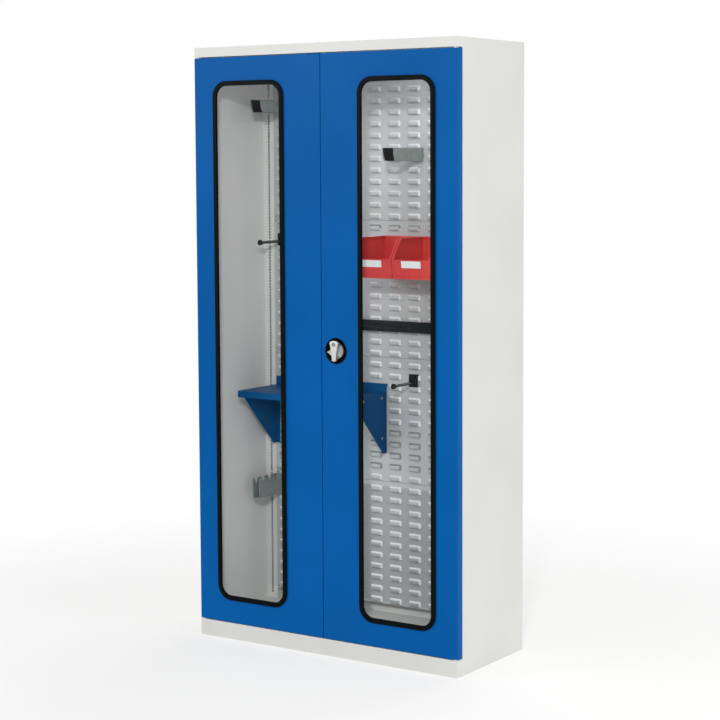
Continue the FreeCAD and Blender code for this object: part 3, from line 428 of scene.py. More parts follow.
@dataclass(frozen=True)
class Finish:
    """One opaque finish with its colour drift, gloss drift and fine relief."""

    name: str
    surface: Surface
    colour: str
    drift: str
    drift_mm: float
    roughness: float
    roughness_drift: float
    grain_mm: float
    relief_mm: float
    metallic: float = 0.0
    sheen: float = 0.0
    specular: float = 0.25

    def material(self) -> bpy.types.Material:
        """Builds the finish as a node material.

        Returns:
            The material.
        """
        made, tree, where = new_material(self.name)
        cloud = add_node(
            tree,
            "ShaderNodeTexNoise",
            {"Vector": where, "Scale": 1000 / self.drift_mm, "Detail": 3.0},
        )
        spread = add_node(
            tree, "ShaderNodeMapRange", {"Value": cloud, "From Min": 0.3, "From Max": 0.7}
        )
        colours = {0: spread, 6: linear(self.colour), 7: linear(self.drift)}
        colour = add_node(tree, "ShaderNodeMix", colours, COLOURS, 2)
        gloss = add_node(
            tree,
            "ShaderNodeMapRange",
            {
                "Value": cloud,
                "From Min": 0.25,
                "From Max": 0.75,
                "To Min": self.roughness - self.roughness_drift,
                "To Max": self.roughness + self.roughness_drift,
            },
        )
        bump = add_node(
            tree,
            "ShaderNodeBump",
            {
                "Height": self.grain(tree, where),
                "Strength": 1.0,
                "Distance": self.relief_mm * MM,
            },
        )
        shader = add_node(
            tree,
            "ShaderNodeBsdfPrincipled",
            {
                "Base Color": self.painted(tree, where, cloud, colour),
                "Roughness": gloss,
                "Normal": bump,
                "Metallic": self.metallic,
                "Specular IOR Level": self.specular,
                "Sheen Weight": self.sheen,
            },
        )
        add_node(tree, "ShaderNodeOutputMaterial", {0: shader})
        return made

    def painted(
        self, tree: bpy.types.NodeTree, where: Socket, cloud: Socket, colour: Socket
    ) -> Socket:
        """Leaves the colour as it is; finishes with more to show paint over it.

        Args:
            tree: Material tree.
            where: Coordinates.
            cloud: Slow noise.
            colour: Plain colour.

        Returns:
            The colour that shows.
        """
        return colour

    def grain(self, tree: bpy.types.NodeTree, where: Socket) -> Socket:
        """Adds the fine relief.

        Args:
            tree: Material tree.
            where: Coordinates.

        Returns:
            Height from 0 to 1.
        """
        sockets = {"Vector": where, "Scale": 1000 / self.grain_mm}
        if self.surface in (Surface.MOULDED, Surface.CAST):
            return add_node(tree, "ShaderNodeTexVoronoi", sockets, {"feature": "SMOOTH_F1"})
        sockets["Detail"] = 1.0 if self.surface is Surface.POWDER else 4.0
        return add_node(tree, "ShaderNodeTexNoise", sockets)


@dataclass(frozen=True)
class DustyFinish(Finish):
    """A finish with a thin film of floor dust that fades out a little way up."""

    dust: str = "#B9B5AB"
    dust_top: float = 0.12
    thickest: float = 0.3

    def painted(
        self, tree: bpy.types.NodeTree, where: Socket, cloud: Socket, colour: Socket
    ) -> Socket:
        """Lays the film, broken up by the noise, as Finish.painted says."""
        height = add_node(tree, "ShaderNodeSeparateXYZ", {0: where}, out=2)
        limits = {"From Min": 0.0, "From Max": self.dust_top, "To Min": self.thickest}
        film = add_node(tree, "ShaderNodeMapRange", {"Value": height, "To Max": 0.0, **limits})
        share = add_node(tree, "ShaderNodeMath", {0: film, 1: cloud}, TIMES)
        return add_node(
            tree, "ShaderNodeMix", {0: share, 6: colour, 7: linear(self.dust)}, COLOURS, 2
        )


@dataclass(frozen=True)
class PaintedLightFinish(Finish):
    """A finish with painted light on the louvres, at points that the mesh marks with "edge".

    The attribute is 1 on an edge that gets a painted highlight, 0 on flat sheet and below 0
    towards a cut, which gets painted shade. A few rows get a painted grey shade line in place
    of the highlight. Heights are in metres.
    """

    # Painted highlight colours, low and high.
    highlight_low: str = "#FCFDFD"
    highlight_high: str = "#E2E4E4"
    # The painted highlight dims from fade_from up to fade_to, which evens out lamps that light the
    # top rows more.
    fade_from: float = 0.8
    fade_to: float = 1.8
    # Painted shade colour, and the rows where a painted shade line replaces the highlight.
    painted_shade: str = "#868A88"
    shaded_rows: tuple[Flat, ...] = ((0.6286, 0.076), (1.3696, 0.0135))

    def painted(
        self, tree: bpy.types.NodeTree, where: Socket, cloud: Socket, colour: Socket
    ) -> Socket:
        """Paints highlights on edges and shade at cuts, as Finish.painted says."""
        height = add_node(tree, "ShaderNodeSeparateXYZ", {0: where}, out=2)
        named = {"attribute_name": "edge"}
        marked = add_node(tree, "ShaderNodeAttribute", None, named, "Fac")
        shaded: Socket | float = 0.0
        for middle, half in self.shaded_rows:
            near = {0: height, 1: middle, 2: half}
            band = add_node(tree, "ShaderNodeMath", near, {"operation": "COMPARE"})
            shaded = add_node(tree, "ShaderNodeMath", {0: shaded, 1: band}, EITHER)
        limits = {"From Min": self.fade_from, "From Max": self.fade_to}
        fade = add_node(tree, "ShaderNodeMapRange", {"Value": height, **limits})
        cut = add_node(tree, "ShaderNodeMath", {0: marked, 1: -1.0}, TIMES)
        # Painted highlights on edges, a painted grey shade line on the shaded rows; painted
        # shade on the sheet towards a cut.
        grey = linear(self.painted_shade)
        low, high = linear(self.highlight_low), linear(self.highlight_high)
        bright = add_node(tree, "ShaderNodeMix", {0: fade, 6: low, 7: high}, COLOURS, 2)
        edge = add_node(tree, "ShaderNodeMix", {0: shaded, 6: bright, 7: grey}, COLOURS, 2)
        sheet = add_node(tree, "ShaderNodeMix", {0: cut, 6: colour, 7: grey}, COLOURS, 2)
        return add_node(tree, "ShaderNodeMix", {0: marked, 6: sheet, 7: edge}, COLOURS, 2)


@dataclass(frozen=True)
class ClearPane:
    """Clear sheet that lets lamps and looks through and mirrors a little at a slant."""

    name: str
    tint: str
    ior: float
    roughness: float

    def material(self) -> bpy.types.Material:
        """Builds the pane as a node material.

        Returns:
            The material.
        """
        made, tree, where = new_material(self.name)
        # Sheet is drawn flat to about a tenth of a millimetre over 200 mm.
        wave = add_node(
            tree, "ShaderNodeTexNoise", {"Vector": where, "Scale": 5.0, "Detail": 0.0}
        )
        bump = add_node(
            tree, "ShaderNodeBump", {"Height": wave, "Strength": 1.0, "Distance": 0.0001}
        )
        mirror = add_node(
            tree,
            "ShaderNodeBsdfPrincipled",
            {
                "Base Color": linear("#050606"),
                "Roughness": self.roughness,
                "IOR": self.ior,
                "Normal": bump,
            },
        )
        through = add_node(tree, "ShaderNodeBsdfTransparent", {0: linear(self.tint)})
        # Schlick's rule is the same from both sides: no total reflection inside the sheet.
        straight = ((self.ior - 1) / (self.ior + 1)) ** 2
        facing = add_node(
            tree, "ShaderNodeLayerWeight", {"Blend": 0.5, "Normal": bump}, out="Facing"
        )
        steep = add_node(tree, "ShaderNodeMath", {0: facing, 1: 5.0}, {"operation": "POWER"})
        share = add_node(
            tree,
            "ShaderNodeMath",
            {0: steep, 1: 1 - straight, 2: straight},
            {"operation": "MULTIPLY_ADD"},
        )
        mixed = add_node(tree, "ShaderNodeMixShader", {0: share, 1: through, 2: mirror})
        add_node(tree, "ShaderNodeOutputMaterial", {0: mixed})
        return made


FINISHES: dict[str, Finish | ClearPane] = {
    # Polyester powder on sheet steel: soft gloss with a faint orange peel of about
    # 2 mm, drawn 3 mm wide so that it shows.
    "carcass_grey": DustyFinish(
        "powder_coated_steel_light_grey", Surface.POWDER, "#DBDBD8", "#D7D7D4", 260.0,
        0.46, 0.03, 3.0, 0.035,
    ),
    # The same powder inside, a shade darker, with painted highlights along most louvres'
    # edges and painted shade at their cuts.
    "louvre_grey": PaintedLightFinish(
        "powder_coated_steel_louvre_grey", Surface.POWDER, "#B9BBBA", "#B4B6B5", 180.0,
        0.36, 0.03, 3.0, 0.03, specular=0.4,
    ),
    # Gentian blue powder on the doors: deep colour, soft wide highlight.
    "door_blue": Finish(
        "powder_coated_steel_gentian_blue", Surface.POWDER, "#005CA6", "#00569D", 320.0,
        0.44, 0.03, 3.0, 0.035, specular=0.06,
    ),
    # Darker blue powder on the shelf and its brackets.
    "fitting_blue": Finish(
        "powder_coated_steel_shelf_blue", Surface.POWDER, "#004F86", "#004878", 120.0,
        0.42, 0.03, 3.0, 0.03, specular=0.08,
    ),
    # Pressed, zinc-coated holders under a thin grey lacquer: dull with cloudy spangle.
    "holder_grey": Finish(
        "lacquered_steel_holder_grey", Surface.PLATED, "#939B98", "#868E8B", 16.0,
        0.4, 0.06, 2.5, 0.02, metallic=0.15,
    ),
    # Black powder over a steel channel, slightly satin.
    "rail_black": Finish(
        "powder_coated_steel_black", Surface.POWDER, "#22282A", "#161B1C", 40.0,
        0.4, 0.05, 2.5, 0.02, specular=0.12,
    ),
    # Extruded rubber: matt black with fine draw lines along it.
    "gasket_rubber": Finish(
        "extruded_rubber_black", Surface.EXTRUDED, "#060A0B", "#0A0F10", 30.0,
        0.46, 0.06, 1.6, 0.02, specular=0.04,
    ),
    # Moulded stops: softer, greyer rubber.
    "buffer_rubber": Finish(
        "moulded_rubber_stop", Surface.MOULDED, "#1B1D1D", "#232525", 12.0,
        0.62, 0.05, 1.2, 0.03, sheen=0.1,
    ),
    # Cast sheet of acrylic: bright clear edge, hardly any tint.
    "pane_clear": ClearPane("cast_acrylic_sheet_clear", "#FBFCFC", 1.49, 0.04),
    # Glass-filled polyamide, spark-eroded tool: fine even grain, low gloss.
    "dish_black": Finish(
        "moulded_polyamide_black", Surface.MOULDED, "#070808", "#0B0C0D", 20.0,
        0.42, 0.04, 0.9, 0.02, specular=0.05,
    ),
    # Die-cast zinc under satin chrome: soft broad reflections.
    "knob_silver": Finish(
        "die_cast_zinc_satin_chrome", Surface.CAST, "#BFC0BD", "#B4B6B4", 18.0,
        0.5, 0.05, 1.0, 0.012, metallic=1.0,
    ),
    # Turned and phosphated: a darker, duller metal than the grip round it.
    "key_steel": Finish(
        "turned_steel_key_cylinder", Surface.CAST, "#777974", "#6D6F6B", 8.0,
        0.5, 0.05, 0.8, 0.01, metallic=1.0,
    ),
    # Cold-rolled steel with blue zinc plating: cloudy grey metal.
    "lock_steel": Finish(
        "zinc_plated_mild_steel", Surface.PLATED, "#97999A", "#85888A", 14.0,
        0.36, 0.07, 3.0, 0.01, metallic=1.0,
    ),
    # Natural nylon: waxy off-white.
    "guide_nylon": Finish(
        "moulded_nylon_natural", Surface.MOULDED, "#DAD7CC", "#D2CEC1", 25.0,
        0.4, 0.04, 1.0, 0.02,
    ),
    # Moulded black feet and catches.
    "catch_black": Finish(
        "moulded_plastic_catch_black", Surface.MOULDED, "#17191A", "#1F2223", 20.0,
        0.42, 0.05, 1.0, 0.02,
    ),
    # Polypropylene storage bins: even red with a soft waxy gloss.
    "bin_red": Finish(
        "moulded_polypropylene_red", Surface.MOULDED, "#DC4B47", "#D24441", 60.0,
        0.36, 0.04, 1.4, 0.02, sheen=0.03,
    ),
    # Uncoated card behind the label window.
    "label_white": Finish(
        "pressed_card_white", Surface.PAPER, "#EEF0EE", "#E6E8E6", 8.0,
        0.75, 0.05, 0.8, 0.02,
    ),
}
# Nodes that look different from the rest of their slot. The slotted uprights take the
# lighter carcass grey as painted light, so that they show brighter lit.
FINISH_OF_NODE = {
    "key_cylinder": "key_steel",
    "slotted_upright_left": "carcass_grey",
    "slotted_upright_right": "carcass_grey",
}


@cache
def finish_of(slot: str) -> bpy.types.Material:
    """Gives a finish's material, built once."""
    return FINISHES[slot].material()


def dress(nodes: dict[str, bpy.types.Object]) -> None:
    """Gives every CAD node its finish.

    Args:
        nodes: CAD objects by name.
    """
    for name, node in nodes.items():
        for index, old in enumerate(node.data.materials):
            slot = FINISH_OF_NODE.get(name, old.name.split(".")[0])
            node.data.materials[index] = finish_of(slot)
    LOG.info("dressed %d nodes", len(nodes))


# --------------------------------------------------------------- louvre panels


@dataclass
class LouvrePanel:
    """One pressed panel: rows of hooded louvres, cut open along their lower edge."""

    place: str
    rows: int
    rows_above: int
    low: float
    high: float
    highest_row: float = 1825.6
    columns: int = 12
    pitch_x: float = 76.0
    pitch_z: float = 38.0
    half_width: float = 455.0
    face: float = 165.0
    back: float = 177.0
    sheet: float = 1.2
    lip_width: float = 48.0
    lip_height: float = 18.0
    corner: float = 5.0
    least_corner: float = 1.2
    band: float = 5.0
    # A tile reaches this far over its hood's top edge, and its sides bend here.
    over: float = 14.0
    bend: float = -6.0
    # Steps up the hood: inset, height over the sheet, share of painted highlight.
    steps: tuple[Point, ...] = (
        (0.0, 0.0, 0.0), (0.9, 1.4, 1.0), (4.9, 5.0, 0.65), (6.0, 5.8, 0.15), (7.2, 6.0, 0.0),
    )
    # Shares of painted shade at the hood's cut and on the sheet below it.
    hood_cut: float = -0.75
    sheet_cut: float = -0.5

    def tile(self) -> bpy.types.Object:
        """Makes the sheet round one louvre, with its hood and its cut.

        Returns:
            A helper object whose origin is the middle of the hood's top edge.
        """
        shape = Shape()
        mesh = shape.mesh
        edge = mesh.verts.layers.float.new("edge")
        half = self.lip_width / 2
        foot = -self.lip_height
        rings = []
        for inset, proud, light in self.steps:
            radius = max(self.corner - inset, self.least_corner)
            side = half - inset
            ring = [(-side, foot), (-side, foot + self.band)]
            for start, x in ((180, radius - side), (90, side - radius)):
                for step in range(3):
                    turn = math.radians(start - 45 * step)
                    z = radius * math.sin(turn) - radius - inset
                    ring.append((x + radius * math.cos(turn), z))
            ring += [(side, foot + self.band), (side, foot)]
            rings.append([mesh.verts.new((x, -proud, z)) for x, z in ring])
            # The top edge and the right cheek get the painted highlight.
            for vert in rings[-1][3:]:
                vert[edge] = light
        inner, cap = rings[0], rings[-1]
        # The hood's lower edge gets painted shade.
        cap[0][edge] = cap[-1][edge] = self.hood_cut
        for a, b in pairwise(rings):
            for i in range(len(a) - 1):
                mesh.faces.new((a[i], b[i], b[i + 1], a[i + 1]))
        mesh.faces.new(cap[-2:0:-1])
        mesh.faces.new((cap[-2], cap[-1], cap[0], cap[1]))
        reach = self.pitch_x / 2
        stations = (-reach, -half, -half / 3, half / 3, half, reach)
        outline = [(-reach, foot), (-reach, self.bend)]
        outline += [(x, self.over) for x in stations]
        outline += [(reach, self.bend), (reach, foot)]
        outer = [mesh.verts.new((x, 0.0, z)) for x, z in outline]
        for i in range(len(inner) - 1):
            mesh.faces.new((outer[i], inner[i], inner[i + 1], outer[i + 1]))
        # Between the hood's ends the strip keeps a free upper edge: the cut.
        lower = [mesh.verts.new((x, 0.0, self.over - self.pitch_z)) for x in stations]
        cut = [mesh.verts.new((x, 0.0, foot)) for x in stations[2:4]]
        # Painted shade on the sheet just below the cut.
        for vert in cut:
            vert[edge] = self.sheet_cut
        upper = (outer[0], inner[0], *cut, inner[-1], outer[-1])
        for i in range(len(upper) - 1):
            mesh.faces.new((upper[i], lower[i], lower[i + 1], upper[i + 1]))
        return shape.finish(self.place + "_tile", finish_of("louvre_grey"), outward=False)

    def build(self) -> None:
        """Tiles the panel with Geometry Nodes, trims it and folds its rims back."""
        tile = self.tile()
        tree = Tree("louvre_sheet_" + self.place)
        part = tree.value("Tile", "Object", tile)
        columns = tree.value("Columns", "Int", self.columns)
        rows = tree.value("Rows", "Int", self.rows)
        tall = self.pitch_z * (self.rows - 1)
        sizes = {
            "Grid across": self.pitch_x * (self.columns - 1),
            "Grid down": tall,
            "Left edge": -self.half_width,
            "Right edge": self.half_width,
            "Lowest edge": self.low,
            "Highest edge": self.high,
        }
        across, down, left, right, low, high = (
            tree.value(name, "Float", size * MM) for name, size in sizes.items()
        )
        grid = tree.node(
            "GeometryNodeMeshGrid",
            {"Size X": across, "Size Y": down, "Vertices X": columns, "Vertices Y": rows},
        )
        middle = self.highest_row - self.pitch_z * self.rows_above - tall / 2
        where = (0.0, self.face * MM, middle * MM)
        stood = tree.node(
            "GeometryNodeTransform",
            {"Geometry": grid, "Translation": where, "Rotation": UPRIGHT},
        )
        shown = tree.node("GeometryNodeObjectInfo", {0: part}, out="Geometry")
        copies = tree.node("GeometryNodeInstanceOnPoints", {"Points": stood, "Instance": shown})
        solid = tree.node("GeometryNodeRealizeInstances", {0: copies})
        welded = tree.node("GeometryNodeMergeByDistance", {"Geometry": solid, "Distance": WELD})
        spot = tree.node("GeometryNodeInputPosition")
        x, y, z = (tree.node("ShaderNodeSeparateXYZ", {0: spot}, out=i) for i in range(3))
        x = tree.node("ShaderNodeClamp", {"Value": x, "Min": left, "Max": right})
        z = tree.node("ShaderNodeClamp", {"Value": z, "Min": low, "Max": high})
        inside = tree.node("ShaderNodeCombineXYZ", {0: x, 1: y, 2: z})
        trimmed = tree.node("GeometryNodeSetPosition", {"Geometry": welded, "Position": inside})
        panel = tree.run(trimmed, "louvre_grey", [tile], 50.0)
        self.fold(panel)
        attach(panel, "carcass", "louvre_panel_" + self.place)

    def fold(self, panel: bpy.types.Object) -> None:
        """Adds the rims folded back all round and gives the sheet its thickness.

        Args:
            panel: The trimmed panel.
        """
        mesh = bmesh.new()
        mesh.from_mesh(panel.data)
        limits = ((0, -self.half_width), (0, self.half_width), (2, self.low), (2, self.high))
        rim = [
            edge
            for edge in mesh.edges
            if len(edge.link_faces) == 1
            and any(
                all(abs(vert.co[axis] - value * MM) < WELD for vert in edge.verts)
                for axis, value in limits
            )
        ]
        for item in bmesh.ops.extrude_edge_only(mesh, edges=rim)["geom"]:
            if isinstance(item, bmesh.types.BMVert):
                item.co.y = self.back * MM
        bmesh.ops.remove_doubles(mesh, verts=mesh.verts, dist=WELD / 10)
        mesh.to_mesh(panel.data)
        mesh.free()
        solid = panel.modifiers.new("Sheet", "SOLIDIFY")
        solid.thickness = self.sheet * MM
        solid.offset = -1.0
        data = evaluated(panel)
        panel.modifiers.clear()
        panel.data = data
        data.name = panel.name
        shade(data, 40.0)


# ----------------------------------------------------------------- the windows


@dataclass
class Window:
    """Rubber section round one door window, with its bulb, groove and lips."""

    side: str
    sign: int
    seam: float = 141.0
    hinge: float = 423.5
    low: float = 132.0
    high: float = 1840.0
    radius: float = 52.0
    corner_steps: int = 14
    # Inset from the outer edge and depth behind the door's front face.
    section: tuple[Flat, ...] = (
        (0.35, -0.1), (0.0, -0.7), (0.5, -1.5), (2.0, -2.2), (4.6, -2.5), (6.9, -2.3),
        (7.7, -1.3), (8.5, -1.3), (9.3, -2.2), (12.4, -2.3), (14.4, -1.7), (15.7, -0.6),
        (15.6, -0.05), (11.2, -0.05), (11.2, 4.15), (15.5, 4.15), (15.5, 6.6), (11.0, 7.0),
        (4.0, 6.8), (0.4, 5.2), (0.4, 2.0), (7.8, 1.2), (7.8, 0.05), (1.5, 0.05),
    )

    def build(self) -> None:
        """Sweeps the section along the window with Geometry Nodes."""
        # The sweep lays a profile's X away from the window and its Y to the front.
        path = bpy.data.meshes.new("section")
        spots = [(-x * MM, -y * MM, 0.0) for x, y in self.section]
        path.from_pydata(spots, [(i, (i + 1) % len(spots)) for i in range(len(spots))], [])
        section = link("section", path)
        tree = Tree("window_rubber_" + self.side)
        wide = tree.value("Width", "Float", (self.hinge - self.seam) * MM)
        tall = tree.value("Height", "Float", (self.high - self.low) * MM)
        radius = tree.value("Corner", "Float", self.radius * MM)
        steps = tree.value("Corner steps", "Int", self.corner_steps)
        part = tree.value("Section", "Object", section)
        frame = tree.node(
            "GeometryNodeCurvePrimitiveQuadrilateral", {"Width": wide, "Height": tall}
        )
        rounded = tree.node(
            "GeometryNodeFilletCurve",
            {"Curve": frame, "Count": steps, "Radius": radius, "Limit Radius": True},
            {"mode": "POLY"},
        )
        level = tree.node("GeometryNodeSetCurveNormal", {"Curve": rounded}, {"mode": "Z_UP"})
        shown = tree.node("GeometryNodeObjectInfo", {0: part}, out="Geometry")
        outline = tree.node("GeometryNodeMeshToCurve", {0: shown})
        swept = tree.node("GeometryNodeCurveToMesh", {"Curve": level, "Profile Curve": outline})
        where = (
            self.sign * (self.seam + self.hinge) / 2 * MM,
            FRONT * MM,
            (self.low + self.high) / 2 * MM,
        )
        stood = tree.node(
            "GeometryNodeTransform",
            {"Geometry": swept, "Translation": where, "Rotation": UPRIGHT},
        )
        rubber = tree.run(stood, "gasket_rubber", [section])
        attach(rubber, "door_" + self.side, "window_gasket_" + self.side)


@dataclass
class MeetingLip:
    """Folded lip on the left door's free edge: closes the gap but for 0.6 mm."""

    low: float = 60.0
    high: float = 1913.0
    front: float = -202.4
    back: float = -181.5
    inner: float = -1.6
    outer: float = 0.9

    def build(self) -> None:
        """Draws the lip's rounded section up the door, narrower at both ends."""
        section = (
            (self.inner, self.front + 0.9), (self.outer - 1.3, self.front),
            (self.outer - 0.4, self.front + 0.2), (self.outer, self.front + 1.1),
            (self.outer, self.back - 1.4), (self.outer - 0.6, self.back),
            (self.inner, self.back),
        )
        ends = ((self.low, 0.7), (self.low + 0.8, 1.0), (self.high - 0.8, 1.0), (self.high, 0.7))
        shape = Shape()
        shape.loft(
            [
                [(self.inner + (x - self.inner) * share, y, z) for x, y in section]
                for z, share in ends
            ]
        )
        shape.ride("meeting_lip", "door_left", "door_blue", smooth=40.0)


# ---------------------------------------------------------------- storage bins


@dataclass
class StorageBin:
    """One open-fronted bin: shell, flange round its mouth, base step and card pocket."""

    side: str
    left: float
    width: float = 146.0
    low: float = 1205.4
    high: float = 1333.9
    back: float = 158.7
    front: float = -30.3
    mouth_run: float = 48.0
    mouth: float = 1267.4
    base_run: float = 8.0
    wall: float = 2.4
    draft: float = 1.6
    flange: float = 8.0
    corner: float = 9.0
    corner_steps: int = 5
    card_width: float = 72.0
    card_low: float = 1241.4
    card_high: float = 1263.4

    def edge_path(self, inset: float) -> list[Flat]:
        """Upper edge in Y and Z, from the front foot over the mouth to the back.

        Args:
            inset: How far the path lies inside the bin.

        Returns:
            Points in order, with the corners rounded.
        """
        corners = [
            Vector((self.front + self.base_run * 0.86, self.low + 8.0)),
            Vector((self.front, self.mouth)),
            Vector((self.front + self.mouth_run, self.high)),
            Vector((self.back, self.high)),
        ]
        path = corners[:1]
        for before, here, after in zip(corners, corners[1:], corners[2:]):
            start = here + (before - here).normalized() * self.corner
            end = here + (after - here).normalized() * self.corner
            for step in range(self.corner_steps + 1):
                t = step / self.corner_steps
                path.append(start * (1 - t) ** 2 + here * 2 * t * (1 - t) + end * t**2)
        path.append(corners[-1])
        moved = []
        for i, spot in enumerate(path):
            way = (path[min(i + 1, len(path) - 1)] - path[max(i - 1, 0)]).normalized()
            moved.append((spot[0] + way[1] * inset, spot[1] - way[0] * inset))
        return moved

    def build(self) -> None:
        """Builds the bin."""
        shape = Shape()
        right = self.left + self.width
        self.walls(shape, right)
        paths = [self.edge_path(inset) for inset in (0.0, 4.5, 0.8)]
        for edge, way in ((self.left, 1.0), (right, -1.0)):
            shape.loft(
                [
                    [
                        (edge + way * 0.8, y0, z0), (edge + way * (self.flange - 1.0), y0, z0),
                        (edge + way * self.flange, y2, z2), (edge + way * self.flange, y1, z1),
                        (edge, y1, z1), (edge, y2, z2),
                    ]
                    for (y0, z0), (y1, z1), (y2, z2) in zip(*paths)
                ]
            )
        self.pocket(shape)
        front, back, low, high = self.front, self.back, self.low, self.high
        for inset, y0, y1, z0, z1, bevel in (
            # Bar across the top of the front wall, and the one across the back.
            (6.0, front + 0.1, front + 4.2, self.mouth - 3.5, self.mouth + 0.1, 1.1),
            (6.0, back - 5.0, back, high - 6.0, high, 1.2),
            # The foot stands proud by a millimetre: the step line above the base.
            (2.2, front + 3.4, back - 6.0, low, low + 8.0, 1.0),
            # Hook over the louvres.
            (2.4, back - 1.0, back + 5.9, high - 2.0, high, 0.4),
            (2.4, back + 3.9, back + 5.9, high - 7.0, high, 0.4),
        ):
            shape.block((self.left + inset, y0, z0), (right - inset, y1, z1), bevel)
        body = "bin_" + self.side
        shape.ride("storage_" + body, body, "bin_red", "part_" + body, 32.0)

    def walls(self, shape: Shape, right: float) -> None:
        """Adds floor and walls, which lean in towards the base.

        Args:
            shape: Mesh that gets them.
            right: Right edge of the bin.
        """
        mesh = shape.mesh
        top = self.high - 0.6
        skins = []
        for thick in (0.0, self.wall):
            foot = self.low + thick + 2.0
            sides = []
            for edge, way in ((self.left, 1.0), (right, -1.0)):
                x_low = edge + way * (self.draft + thick)
                x_high = edge + way * (0.6 + thick)
                points = (
                    (x_low, self.back - thick, foot),
                    (x_high, self.back - thick, top),
                    (x_high, self.front + self.mouth_run + thick, top),
                    (x_high, self.front + thick, self.mouth - 0.4),
                    (x_low, self.front + self.base_run - 0.6 + thick, foot),
                )
                sides.append([mesh.verts.new(point) for point in points])
            skins.append(sides)
            a, b = sides
            for face in (
                (a[0], a[4], a[3], a[2], a[1]),
                (b[0], b[1], b[2], b[3], b[4]),
                (a[0], b[0], b[4], a[4]),
                (a[0], a[1], b[1], b[0]),
                (a[4], b[4], b[3], a[3]),
            ):
                mesh.faces.new(face[::-1] if thick else face)
        (a, b), (c, d) = skins
        for p, q in ((a, c), (b, d)):
            for i in (1, 2):
                mesh.faces.new((p[i], p[i + 1], q[i + 1], q[i]))
        mesh.faces.new((a[3], b[3], d[3], c[3]))
        mesh.faces.new((a[1], c[1], d[1], b[1]))

    def pocket(self, shape: Shape) -> None:
        """Adds the ledges that hold the card on three sides.

        Args:
            shape: Mesh that gets them.
        """
        middle = self.left + self.width / 2
        half = self.card_width / 2
        slope = self.base_run / (self.mouth - self.low)
        foot = self.card_low - 2.0

        def face_y(z: float) -> float:
            """Front face of the bin at a height."""
            return self.front + slope * (self.mouth - z)

        for x0, x1 in ((-half - 2.0, 1.2 - half), (half - 1.2, half + 2.0)):
            around = ((x0, -0.1), (x1, -0.1), (x1, 1.2), (x0, 1.2))
            shape.loft(
                [
                    [(middle + x, face_y(z) + depth, z) for x, depth in around]
                    for z in (foot, self.card_high - 0.5)
                ]
            )
        y = face_y(self.card_low)
        low = (middle - half, y - 0.2, foot)
        shape.block(low, (middle + half, y + 1.2, self.card_low + 1.4), 0.3)


# -------------------------------------------------------------------- the lock


